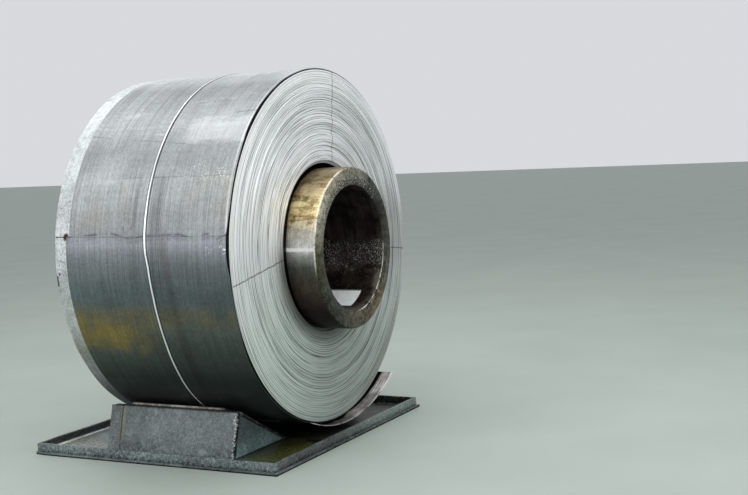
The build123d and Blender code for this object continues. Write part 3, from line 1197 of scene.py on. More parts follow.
@dataclass(frozen=True)
class SleeveFinish(Finish):
    """Old turned steel: golden-brown oxide outside, olive end face, black-brown bore."""

    # Colour of the outside at each angle: golden-brown oxide, but its brightness, with the white
    # band near 174 degrees and near black below, is painted light, shade and highlight.
    outside: tuple[tuple[float, Colour], ...] = (
        (-90, (0.012, 0.009, 0.007, 1)), (0, (0.3, 0.24, 0.14, 1)), (60, (0.28, 0.23, 0.13, 1)),
        (90, (0.25, 0.21, 0.13, 1)), (105, (0.45, 0.37, 0.21, 1)), (115, (0.37, 0.28, 0.15, 1)),
        (125, (0.48, 0.37, 0.21, 1)), (133, (0.62, 0.49, 0.28, 1)), (141, (1.0, 0.86, 0.48, 1)),
        (152, (0.9, 0.7, 0.36, 1)), (162, (0.84, 0.77, 0.6, 1)), (167, (0.82, 0.78, 0.68, 1)),
        (171, (0.88, 0.85, 0.78, 1)), (174, (1.0, 0.99, 0.96, 1)), (177, (0.95, 0.93, 0.89, 1)),
        (181, (0.56, 0.54, 0.51, 1)), (188, (0.17, 0.17, 0.153, 1)), (194, (0.125, 0.12, 0.098, 1)),
        (202, (0.128, 0.102, 0.077, 1)), (215, (0.083, 0.056, 0.052, 1)),
        (232, (0.035, 0.017, 0.013, 1)), (250, (0.01, 0.009, 0.007, 1)),
        (270, (0.004, 0.004, 0.003, 1)),
    )
    ring: tuple[tuple[float, Colour], ...] = (
        (-90, (0.115, 0.103, 0.072, 1)), (-60, (0.29, 0.215, 0.115, 1)),
        (-30, (0.165, 0.165, 0.127, 1)), (0, (0.062, 0.066, 0.047, 1)),
        (30, (0.032, 0.035, 0.022, 1)), (60, (0.037, 0.037, 0.028, 1)),
        (90, (0.33, 0.315, 0.245, 1)), (120, (0.52, 0.48, 0.35, 1)), (150, (0.68, 0.64, 0.48, 1)),
        (180, (0.098, 0.092, 0.052, 1)), (210, (0.042, 0.046, 0.027, 1)),
        (240, (0.037, 0.037, 0.028, 1)), (270, (0.115, 0.103, 0.072, 1)),
    )
    # Colour of the painted highlights on the chamfers.
    bright: Colour = (0.74, 0.71, 0.6, 1)
    axis_height: float = SLEEVE_Z

    def paint(self, coat: Coat) -> None:
        """Lays its colours, relief and sheen.

        Args:
            coat: the material under work.
        """
        patch = coat.noise(14.0, 6.0, 0.65)
        rough_skin = coat.noise(46.0, 5.0, 0.75)
        outer = SLEEVE_RADIUS - 1.0 * MM
        on_face = coat.radius.fade(outer, outer - 2 * MM)
        coat.colour = coat.mix(on_face, self.outside_tone(coat), self.ring_tone(coat, rough_skin))
        self.edges(coat, rough_skin)
        in_bore = coat.radius.fade(SLEEVE_BORE + 2 * MM, SLEEVE_BORE + 1.5 * MM)
        coat.colour = coat.mix(in_bore, coat.colour, self.bore_tone(coat, patch))
        rough = patch * 0.35 + (self.roughness - 0.15)
        coat.set("Specular IOR Level", 0.15)
        glare = coat.rise.band(0.07, 0.01, 0.022) * coat.right.fade(0.1, -0.1)
        glare = glare * (1.0 - on_face)
        coat.set("Metallic", glare * -0.9 + self.metallic)
        coat.done(patch * 0.3 + rough_skin * 0.7, rough)

    def outside_tone(self, coat: Coat) -> Value:
        """The outside: patches and streaks of bare and oxidised steel over turned lines.

        Args:
            coat: the material under work.

        Returns:
            The colour.
        """
        upper = coat.rise.fade(0.2, 0.4)
        cross = coat.streaks(9.0, 46.0, 3.0)
        lines = coat.streaks(210.0, 5.0, 1.0)
        patch = coat.noise(26.0, 5.0, 0.7)
        grain = coat.noise(150.0, 3.0, 0.8)
        coat.colour = coat.by_angle(self.outside)
        coat.lay((0.95, 0.88, 0.68, 1), cross.fade(0.55, 0.68) * upper * 0.4)
        coat.dim((0.4, 0.33, 0.26, 1), cross.fade(0.48, 0.37) * upper * 0.75)
        coat.dim((0.46, 0.38, 0.3, 1), patch.fade(0.5, 0.38) * upper * 0.75)
        coat.wear(patch, 0.36, 0.6, 0.5, 0.6)
        coat.wear(grain, 0.34, 0.6, 0.42, 0.55)
        coat.wear(lines, 0.34, 0.6, 0.5, 0.4)
        shine = (
            coat.rise.band(0.07, 0.009, 0.024) * coat.right.fade(0.1, -0.1)
            * (coat.along.fade(SLEEVE_LOW.y + 10 * MM, FACE_FRONT - 30 * MM) * 0.35 + 0.65)
        )
        coat.lay((1.0, 0.99, 0.96, 1), shine * grain.fade(0.32, 0.42))
        # Near black where the sleeve goes into the coil's bore: painted shade in the gap.
        inside = coat.along - coat.rise.fade(0.2, 0.85) * (12 * MM)
        entry = inside.fade(FACE_FRONT - 3 * MM, FACE_FRONT + 1 * MM) * coat.right.fade(0.1, -0.1)
        coat.lay((0.005, 0.005, 0.005, 1), entry * 0.93)
        return coat.colour

    def ring_tone(self, coat: Coat, skin: Value) -> Value:
        """The end face: mottled olive and brown, blue-black and rusty low on the right.

        Args:
            coat: the material under work.
            skin: the rough skin.

        Returns:
            The colour.
        """
        coat.colour = coat.by_angle(self.ring)
        coat.wear(skin, 0.4, 0.56, 0.3, 0.85)
        grain = coat.noise(150.0, 3.0, 0.8)
        top = coat.rise.fade(0.2, 0.6)
        coat.dim(grey(0.26), grain.fade(0.51, 0.42) * (top * 0.45 + 0.45))
        crown = coat.rise.fade(0.6, 0.86) * coat.radius.fade(0.308, 0.282)
        pale = coat.spots(140.0, 0.53, 0.04)
        coat.lay((0.42, 0.4, 0.32, 1), pale * skin.fade(0.46, 0.6) * 0.25)
        coat.lay((0.9, 0.88, 0.8, 1), pale * crown * 0.7)
        pits = coat.spots(95.0, 0.52, 0.03)
        coat.lay((0.018, 0.016, 0.018, 1), pits * crown * 0.8)
        worn = coat.rise.fade(0.2, 0.5) * coat.radius.fade(0.3, 0.268)
        coat.lay((0.016, 0.014, 0.02, 1), grain.fade(0.56, 0.46) * worn * 0.85)
        corner = coat.rise.within(-0.95, -0.35, 0.2) * coat.right.fade(0.1, 0.4)
        inner = coat.radius.fade(0.305, 0.272)
        coat.lay((0.014, 0.017, 0.024, 1), corner * inner * skin.fade(0.58, 0.48) * 0.85)
        rusty = coat.spots(60.0, 0.56, 0.05)
        coat.lay((0.22, 0.155, 0.07, 1), rusty * corner * 0.4)
        return coat.colour

    def edges(self, coat: Coat, skin: Value) -> None:
        """The worn chamfers: a painted highlight on the outer one where it faces up and left, and a
        patchy dark line on the bore's with a painted highlight low on its right.

        Args:
            coat: the material under work.
            skin: the rough skin.
        """
        # Painted highlight on the outer chamfer where it faces up and left.
        upper_left = coat.right.fade(0.05, -0.35) * coat.rise.fade(-0.3, 0.0)
        outer = (
            coat.radius.within(SLEEVE_RADIUS - 5 * MM, SLEEVE_RADIUS - 1.5 * MM, 1.2 * MM)
            * upper_left
        )
        coat.lay(self.bright, outer * skin.fade(0.36, 0.52) * 0.85)
        inner = coat.radius.within(SLEEVE_BORE + 1.5 * MM, SLEEVE_BORE + 5 * MM, 1 * MM)
        low_right = coat.rise.fade(0.05, -0.12) * coat.right.fade(-0.05, 0.2)
        coat.lay((0.018, 0.016, 0.012, 1), inner * skin.fade(0.62, 0.46) * 0.8)
        # Painted highlight on the bore's chamfer low on the right.
        coat.lay(self.bright, inner * low_right * skin.fade(0.4, 0.54) * 0.8)

    def bore_tone(self, coat: Coat, patch: Value) -> Value:
        """The bore: black-brown with pale grit lying along its lower side.

        Args:
            coat: the material under work.
            patch: the broad patches.

        Returns:
            The colour.
        """
        uneven = coat.rise + (patch - 0.5) * 0.7
        dark = patch.ramp(((0.36, (0.026, 0.019, 0.022, 1)), (0.62, (0.105, 0.084, 0.074, 1))))
        brown = patch.ramp(((0.36, (0.04, 0.032, 0.026, 1)), (0.62, (0.16, 0.135, 0.105, 1))))
        coat.colour = coat.mix(uneven.fade(0.3, -0.2), dark, brown)
        rings = coat.streaks(60.0, 4.0, 31.0)
        coat.wear(rings, 0.36, 0.6, 0.45, 0.8)
        grit = coat.spots(170.0, 0.565, 0.03)
        near = coat.along.fade(0.1, -0.5)
        scattered = coat.noise(9.0, 3.0, 0.6).fade(0.3, 0.5)
        lying = uneven.within(-0.3, -0.08, 0.14) * (near * 0.75 + 0.25) * scattered
        edge = (
            coat.rise.within(-0.33, 0.0, 0.08) * coat.along.fade(-0.55, -0.6)
            * coat.right.fade(0.1, 0.5)
        )
        coat.lay(grey(1.0), grit * coat.most(lying, edge * 0.6))
        coarse = coat.spots(80.0, 0.6, 0.04)
        coat.lay((0.42, 0.38, 0.34, 1), coarse * coat.rise.fade(0.1, -0.1) * 0.65)
        deep = coat.rise.fade(-0.42, -0.6) * coat.right.fade(0.25, 0.55)
        coat.dim((0.3, 0.27, 0.25, 1), deep * 0.85)
        near_low = coat.along.fade(-0.585, -0.605) * coat.rise.fade(-0.2, -0.5)
        coat.lay((0.42, 0.4, 0.36, 1), near_low * patch.fade(0.4, 0.56) * 0.15)
        return coat.colour


@dataclass(frozen=True)
class StrapFinish(Finish):
    """Zinc-coated strap with painted shade along its edges and a slightly uneven tone."""

    tone: Colour = (0.9, 0.92, 0.92, 1)
    rubbed: Colour = (0.52, 0.55, 0.56, 1)
    # Colour of the painted shade along the edges.
    dirt: Colour = (0.16, 0.18, 0.2, 1)

    def paint(self, coat: Coat) -> None:
        """Lays its colours, relief and sheen.

        Args:
            coat: the material under work.
        """
        lines = coat.streaks(900.0, 14.0, 6.0)
        coat.colour = coat.mix(lines.fade(0.55, 0.35), self.tone, self.rubbed)
        off = coat.behind_strap()
        # Darker along both edges, on the left side: painted shade.
        edges = abs(off).fade(2.6 * MM, 3.8 * MM)
        coat.dim(self.dirt, edges * coat.left)
        coat.done(lines)


class Part(Enum):
    """Which painted plates of the cradle a finish is for."""

    RIM = "rim"
    PLATE = "plate"
    CHOCK_SIDE = "chock side"
    CHOCK_END = "chock end"


@dataclass(frozen=True)
class PaintFinish(Finish):
    """Worn blue-grey paint on steel plate: speckled, scuffed and dirty."""

    tone: Colour = (0.138, 0.168, 0.176, 1)
    pale: Colour = (0.27, 0.325, 0.335, 1)
    dirt: Colour = (0.016, 0.016, 0.014, 1)
    rust: Colour = (0.13, 0.08, 0.042, 1)
    scuffed: float = 0.3
    plaster: Point2 = (-0.168, 0.032)
    part: Part = Part.RIM

    def paint(self, coat: Coat) -> None:
        """Lays its colours, relief and sheen.

        Args:
            coat: the material under work.
        """
        broad = coat.noise(4.5, 5.0, 0.6)
        fine = coat.noise(75.0, 6.0, 0.78)
        coat.colour = coat.join(*self.tone[:3])
        coat.wear(broad, 0.36, 0.6, 0.55, 1.0)
        coat.wear(fine, 0.4, 0.57, 0.34, 0.85)
        scuffs = coat.noise(20.0, 6.0, 0.7).fade(0.54, 0.64)
        coat.lay(self.pale, scuffs * self.scuffed)
        chips = coat.spots(210.0, 0.56, 0.05)
        coat.lay(self.pale, chips * 0.5)
        pits = coat.spots(120.0, 0.58, 0.04)
        coat.lay(self.dirt, pits * broad.fade(0.62, 0.4) * 0.7)
        spots = coat.spots(48.0, 0.64, 0.03)
        coat.lay(self.rust, spots * 0.35)
        rough = fine * 0.3 + (self.roughness - 0.15)
        if self.part is Part.RIM:
            self.rim_marks(coat, fine, broad)
        elif self.part is Part.PLATE:
            rough = self.plate_marks(coat, fine, broad, rough)
        else:
            self.chock_marks(coat, fine)
        value = coat.value("ShaderNodeRGBToBW", {0: coat.colour})
        coat.set("Specular IOR Level", value.fade(0.004, 0.06) * 0.5)
        coat.done(fine, rough)

    def rim_marks(self, coat: Coat, fine: Value, broad: Value) -> None:
        """Painted light and shade on the bars, patchy darkening towards the rim's foot, scuffs on
        its top, and a pale line at the back bar's foot.

        Args:
            coat: the material under work.
            fine: the fine noise.
            broad: the broad noise.
        """
        # Painted light and shade: the left bar and the right part of the front bar made lighter,
        # the right bar darker.
        left = coat.x.fade(-0.59, -0.602)
        coat.dim((2.7, 2.95, 3.05, 1), left)
        coat.dim(grey(0.62), left * fine.fade(0.53, 0.45))
        coat.dim((2.35, 2.6, 2.35, 1), coat.along.fade(-0.56, -0.57) * coat.x.fade(-0.3, 0.3))
        coat.dim((0.36, 0.38, 0.34, 1), coat.x.fade(0.59, 0.602) * coat.along.fade(-0.56, -0.55))
        # Darker and patchy towards the foot.
        coat.dim(grey(0.3), coat.up.fade(22 * MM, 12 * MM) * fine.fade(0.56, 0.46))
        top = coat.up.fade(40 * MM, 44 * MM) * fine.fade(0.52, 0.58)
        coat.lay(self.pale, top * broad.fade(0.4, 0.56) * 0.8)
        far = (
            coat.along.within(0.555, 0.563, 2 * MM) * coat.x.fade(-0.02, -0.12)
            * coat.x.fade(-0.6005, -0.5975)
        )
        coat.lay(
            (0.95, 0.95, 0.91, 1), far * coat.up.fade(19 * MM, 14 * MM) * fine.fade(0.38, 0.48)
        )

    def plate_marks(self, coat: Coat, fine: Value, broad: Value, rough: Value) -> Value:
        """Oil in the tray, painted shade under and beside the coil, the dirty ledge outside the rim
        with painted glints, a painted contact shadow along the lower edge, and a pale line at the
        back bar's foot.

        Args:
            coat: the material under work.
            fine: the fine noise.
            broad: the broad noise.
            rough: the roughness so far.

        Returns:
            The roughness, lower where it is wet.
        """
        away = abs(coat.x)
        floor = coat.up.fade(PLATE_HIGH.z - 2.5 * MM, PLATE_HIGH.z - 1 * MM)
        # Painted shade: darker at the right end, at the front left and under the coil.
        dark_end = coat.most(
            coat.x.fade(0.05, 0.35), coat.along.fade(-0.25, -0.45) * coat.x.fade(-0.4, -0.15)
        )
        under = away.fade(0.52, 0.3) * coat.along.fade(0.4, 0.3)
        coat.dim((0.13, 0.125, 0.12, 1), coat.most(dark_end, under) * 0.95)
        coat.dim(grey(0.55), coat.along.fade(-0.1, -0.45))
        outside = coat.most(away.fade(0.6115, 0.6135), abs(coat.along).fade(0.5705, 0.5725))
        inside = 1.0 - outside
        oil_zone = coat.along.fade(-0.28, -0.4) * coat.x.fade(0.05, -0.25) * inside
        oil = fine.ramp(((0.36, (0.03, 0.03, 0.01, 1)), (0.6, (0.095, 0.098, 0.026, 1))))
        wet = floor * oil_zone * broad.fade(0.3, 0.46)
        coat.lay(oil, wet * 0.9)
        rough = rough - wet * 0.22
        front_lip = outside * coat.x.fade(-0.6115, -0.6095)
        coat.lay((0.082, 0.094, 0.094, 1), front_lip * fine.fade(0.58, 0.44))
        glints = coat.spots(90.0, 0.56, 0.04)
        lip = outside * floor * glints * broad.fade(0.44, 0.54)
        coat.lay((0.42, 0.44, 0.43, 1), lip * 0.6)
        green = floor * inside * coat.x.fade(0.1, 0.3)
        coat.lay(
            fine.ramp(((0.36, (0.012, 0.017, 0.011, 1)), (0.62, (0.045, 0.056, 0.038, 1)))),
            green * 0.9,
        )
        mottled = coat.noise(75.0, 6.0, 0.8).fade(0.47, 0.53)
        left_floor = floor * inside * coat.x.fade(-0.25, -0.5) * coat.along.fade(-0.3, -0.15)
        coat.dim((0.8, 0.88, 0.78, 1), left_floor)
        coat.dim((0.5, 0.5, 0.42, 1), left_floor * coat.noise(90.0, 5.0, 0.8).fade(0.52, 0.45))
        coat.lay((0.34, 0.36, 0.29, 1), mottled * left_floor * 0.6)
        crumbs = coat.spots(130.0, 0.57, 0.04)
        coat.lay((0.62, 0.6, 0.52, 1), crumbs * left_floor * 0.7)
        # Near black along the plate's lower edge: painted contact shadow.
        coat.lay((0.006, 0.006, 0.006, 1), coat.up.fade(6.5 * MM, 4 * MM) * 0.95)
        back_foot = (
            coat.along.within(0.5545, 0.5605, 1 * MM) * coat.x.fade(-0.12, -0.16) * floor * inside
        )
        coat.lay((0.95, 0.95, 0.91, 1), back_foot * fine.fade(0.36, 0.46))
        return rough

    def chock_marks(self, coat: Coat, fine: Value) -> None:
        """Sides: rust run, bare chips, torn front edge, dried patch. Ends: a rubbed ramp edge.

        Args:
            coat: the material under work.
            fine: the fine noise.
        """
        low, high = box_of("left_chock_shell")
        if self.part is Part.CHOCK_SIDE:
            strip_end = high.y - END_STRIP
            coat.dim(grey(1.22), coat.along.fade(0.16, 0.04))
            run = coat.along.band(strip_end - 6 * MM, 5 * MM, 8 * MM) * coat.up.fade(0.03, 0.09)
            coat.lay((0.185, 0.17, 0.11, 1), run * fine.fade(0.36, 0.5) * 0.8)
            joint = coat.along.band(strip_end, 1.5 * MM, 2.5 * MM) * coat.up.fade(0.04, 0.08)
            coat.lay((0.032, 0.033, 0.024, 1), joint * 0.85)
            foot = coat.up.fade(0.05, 0.018) * fine.fade(0.5, 0.57)
            coat.lay((0.3, 0.31, 0.3, 1), foot * 0.55)
            rough_edge = coat.noise(60.0, 3.0, 0.7)
            broken = (rough_edge - 0.5) * (44 * MM) + coat.along
            chips = coat.spots(150.0, 0.53, 0.04)
            bare = broken.within(low.y + 6 * MM, low.y + 16 * MM, 3 * MM) * chips
            coat.lay((0.66, 0.67, 0.65, 1), bare * 0.8)
            cut = broken.fade(low.y + 7 * MM, low.y + 2 * MM)
            coat.lay((0.007, 0.007, 0.006, 1), cut * 0.94)
            off_y = (coat.along - self.plaster[0]) / 2.6
            off_z = coat.up - self.plaster[1]
            away = coat.distance(off_y, off_z)
            away = away + (rough_edge - 0.5) * (26 * MM)
            coat.lay((0.27, 0.31, 0.33, 1), away.fade(12 * MM, 8 * MM) * 0.8)
        else:
            # End plates made lighter towards the foot: painted light.
            coat.dim((1.9, 2.05, 2.1, 1), coat.up.fade(0.12, 0.03))
            ramp_edge = abs(coat.x) + coat.up * -1.79
            rubbed = ramp_edge.fade(0.15, 0.115)
            coat.lay((0.22, 0.26, 0.26, 1), rubbed * fine.fade(0.49, 0.55) * 0.6)
        fold = (coat.up + (fine - 0.5) * (-14 * MM)).fade(high.z - 5 * MM, high.z - 2 * MM)
        coat.lay((0.02, 0.018, 0.015, 1), fold * 0.75)
        shade = coat.along.fade(-0.316, -0.3178) * coat.up.fade(17 * MM, 13 * MM)
        coat.lay((0.006, 0.006, 0.006, 1), shade * 0.9)


@dataclass(frozen=True)
class WeldFinish(Finish):
    """Rough weld metal under the same paint, dark in its ripples with bare bright spots."""

    def paint(self, coat: Coat) -> None:
        """Lays its colours, relief and sheen.

        Args:
            coat: the material under work.
        """
        fine = coat.noise(160.0, 4.0, 0.7)
        coat.colour = fine.ramp(
            (
                (0.35, (0.014, 0.014, 0.014, 1)), (0.5, (0.06, 0.066, 0.068, 1)),
                (0.66, (0.4, 0.39, 0.36, 1)),
            ),
        )
        rust = coat.spots(70.0, 0.58, 0.05)
        coat.lay((0.16, 0.09, 0.05, 1), rust * 0.6)
        # Pale line on the welds at the back bar's foot.
        pale_foot_line = coat.along.fade(0.54, 0.548) * coat.x.fade(-0.05, -0.15)
        coat.lay((1.0, 1.0, 0.96, 1), pale_foot_line * fine.fade(0.3, 0.4))
        coat.done(fine)


@dataclass(frozen=True)
class BoardFinish(Finish):
    """Bare lining board, pale low on its cut edge, with painted shade over the upper part next to
    the coil.
    """

    ramp_angle: float = 29.2

    def paint(self, coat: Coat) -> None:
        """Lays its colours, relief and sheen.

        Args:
            coat: the material under work.
        """
        grain = coat.noise(1.0, 4.0, 0.6, coat.scaled((60, 4, 160)))
        broad = coat.noise(16.0, 4.0, 0.6)
        coat.colour = grain.ramp(
            (
                (0.3, (0.42, 0.34, 0.28, 1)), (0.48, (0.78, 0.72, 0.67, 1)),
                (0.66, (0.93, 0.9, 0.86, 1)),
            ),
        )
        coat.lay((0.3, 0.22, 0.15, 1), broad.fade(0.46, 0.32) * 0.8)
        slope = math.radians(self.ramp_angle)
        depth = (
            abs(coat.x) * math.sin(slope) + (AXIS_Z - coat.up) * math.cos(slope)
            + (-STRAP_HIGH.x - 0.3 * MM)
        )
        ragged = depth + (grain - 0.5) * (6 * MM)
        coat.dim((0.56, 0.545, 0.52, 1), 1.0)
        coat.dim(grey(0.3), coat.noise(9.0, 4.0, 0.7).fade(0.52, 0.42) * 0.8)
        coat.dim(grey(0.3), coat.along.fade(-0.215, -0.245))
        # Near black over the upper part of the cut edge, next to the coil: painted shade.
        coat.lay((0.012, 0.008, 0.006, 1), ragged.fade(13.0 * MM, 11.0 * MM) * 0.97)
        coat.done(grain)


@dataclass(frozen=True)
class LabelFinish(Finish):
    """Blank coated sheet, a little creased and soiled."""

    axis_height: float = SLEEVE_Z

    def paint(self, coat: Coat) -> None:
        """Lays its colours, relief and sheen.

        Args:
            coat: the material under work.
        """
        fine = coat.noise(30.0, 5.0, 0.6)
        coat.colour = fine.ramp(((0.3, (0.8, 0.86, 0.85, 1)), (0.6, (0.95, 1.0, 0.99, 1))))
        spots = coat.spots(300.0, 0.66, 0.03)
        coat.lay(grey(0.35), spots * 0.5)
        # Dark line along the upper edge: painted shadow.
        coat.lay(grey(0.1), coat.rise.fade(-0.785, -0.775) * 0.8)
        coat.done(fine)


# ---------------------------------------------------------------- the coil


@dataclass
class StripCoil:
    """The wound strip: stepped ends, a groove at the front edge and the band at the back."""

    bore_radius: float = COIL_BORE
    groups_front: tuple[Point2, ...] = (
        (0.03, -9.0), (0.14, 0.5), (0.19, -2.0), (0.25, 1.0), (0.32, 2.0), (0.37, -3.0),
        (0.44, 0.0), (0.50, 2.0), (0.56, -2.0), (0.64, 1.0), (0.71, -1.5), (0.79, 1.5), (0.93, 1.0),
        (1.0, 0.0),
    )
    groups_back: tuple[Point2, ...] = (
        (0.05, -6.0), (0.22, 1.0), (0.35, -1.5), (0.50, 1.5), (0.66, -1.0), (0.80, 1.5), (1.0, 0.0)
    )
    rings_front: int = 120
    rings_back: int = 60
    steps: int = 180
    jitter: float = 0.8 * MM
    front_step: float = 4.0 * MM
    front_step_length: float = 60.0 * MM
    band_thickness: float = 3.0 * MM
    band_length: float = 160.0 * MM
    mark_radius: float = 10.0 * MM
    slit_width: float = 3.0 * MM
    slack: float = 1.5 * MM

    def ring_offset(self, share: float, groups: Sequence[Point2], seed: float) -> float:
        """How far a turn stands out of its end face, in metres.

        Args:
            share: its place from the bore outwards, 0 to 1.
            groups: the steps of this end.
            seed: where its noise is read.

        Returns:
            The offset in metres.
        """
        stands_out = next(out for reach, out in groups if share <= reach + 1e-6)
        small = wander(seed, Vector((share * 400, 0, 0)))
        return stands_out * MM + self.jitter * 2 * small

    def half_section(self) -> list[Vector]:
        """Corners of the section in the half plane of +X, from the bore round to the bore.

        Returns:
            The corners in order.
        """
        outer = COIL_RADIUS - self.front_step
        corners = []
        for ends, rings, face, outward, groups in (
            ("front", self.rings_front, FACE_FRONT, -1, self.groups_front),
            ("back", self.rings_back, FACE_BACK, 1, self.groups_back),
        ):
            side = []
            limit = outer if ends == "front" else COIL_RADIUS - self.band_thickness
            for ring in range(rings):
                low = self.bore_radius + (limit - self.bore_radius) * ring / rings
                high = self.bore_radius + (limit - self.bore_radius) * (ring + 1) / rings
                offset = self.ring_offset((ring + 0.5) / rings, groups, outward * 2.0)
                y = face + outward * offset
                side += [Vector((low, y, AXIS_Z)), Vector((high, y, AXIS_Z))]
            if ends == "front":
                corners += side
                step_end = FACE_FRONT + self.front_step_length
                inner_band = COIL_RADIUS - self.band_thickness
                band_start = FACE_BACK - self.band_length
                corners += [
                    Vector((outer, step_end, AXIS_Z)),
                    Vector((COIL_RADIUS - self.slack, step_end + 4 * MM, AXIS_Z)),
                    Vector((COIL_RADIUS - self.slack, band_start, AXIS_Z)),
                    Vector((inner_band, band_start, AXIS_Z)),
                ]
            else:
                corners += side[::-1]
        return corners

    def turn_shift(self, point: Vector) -> Vector:
        """Slow wandering of the turns, and the gaps that open between some of them.

        Args:
            point: a vertex.

        Returns:
            How far it moves.
        """
        angle, radius = polar(point)
        share = (radius - self.bore_radius) / (COIL_RADIUS - self.bore_radius)
        if share > 0.985 or share < -0.01:
            return Vector((0, 0, 0))
        at_front = point.y < FACE_FRONT + 20 * MM
        around = circling(angle, 1, share * 9)
        drift = 0.7 * MM * wander(3.0, around * 1.3)
        if not at_front:
            return Vector((0, drift, 0))
        opened = 0.0
        for gap_share, centre, half_width, depth in (
            (0.555, 60, 28, 4.0), (0.600, 42, 14, 3.0), (0.17, 68, 26, 3.0), (0.22, 72, 26, 3.0),
            (0.36, 60, 30, 2.0), (0.70, 38, 30, 1.5), (0.80, 120, 40, 1.0),
        ):
            off = (angle - centre + 180) % 360 - 180
            if abs(share - gap_share) < 0.006:
                opened += depth * MM * bump(off, 0, half_width)
        return Vector((0, drift + opened, 0))

    def build_turns(self, material: Material) -> None:
        """Makes the turned body with its stepped ends.

        Args:
            material: its finish.
        """
        bm = bmesh.new()
        spin_round(bm, chain(bm, self.half_section(), close=True), 360, self.steps)
        move_all(bm, self.turn_shift)
        bmesh.ops.recalc_face_normals(bm, faces=bm.faces)
        make_piece("coil_turns", bm, material, ["coil"])

    def band_shift(self, point: Vector) -> Vector:
        """Notch of the mark at both ends of the band, and its slightly battered edge.

        Args:
            point: a vertex.

        Returns:
            How far it moves.
        """
        angle, _ = polar(point)
        away = outwards(point)
        round_way = Vector((-away.z, 0, away.x))
        off = abs(point.y - MARK_Y)
        moved = Vector((0, 0, 0))
        from_seam = (angle - SEAM_ANGLE + 180) % 360 - 180
        if abs(from_seam) < 0.3 and off < self.mark_radius:
            push = math.sqrt(self.mark_radius**2 - off**2)
            moved += round_way * push * (1 if from_seam > 0 else -1)
        edge = ramp_up(point.y, FACE_BACK - 40 * MM, FACE_BACK)
        ripple = wander(5.0, circling(angle, 9))
        moved += away * (edge * 1.6 * MM * ripple)
        nick = bump(angle, 183.1, 1.1) * ramp_up(point.y, FACE_BACK - 24 * MM, FACE_BACK - 4 * MM)
        moved += away * nick * 4 * MM + Vector((0, -nick * 3 * MM, 0))
        return moved

    def build_band(self, material: Material) -> None:
        """Makes the last bound turn past the loose one, slit at the seam and punched.

        Args:
            material: its finish.
        """
        start_y = FACE_BACK - self.band_length
        places = [start_y, start_y + 40 * MM, MARK_Y - 20 * MM]
        places += [MARK_Y + self.mark_radius * k / 5 for k in range(-5, 6)]
        places += [
            MARK_Y + 20 * MM, FACE_BACK - 24 * MM, FACE_BACK - 12 * MM, FACE_BACK - 4 * MM,
            FACE_BACK,
        ]
        half_slit = math.degrees(self.slit_width / 2 / COIL_RADIUS)
        first, sweep = SEAM_ANGLE + half_slit, 360 - 2 * half_slit - 0.001
        bm = curved_sheet(
            places, COIL_RADIUS, first, sweep, 240, self.band_shift, self.band_thickness
        )
        make_piece("coil_edge_band", bm, material)


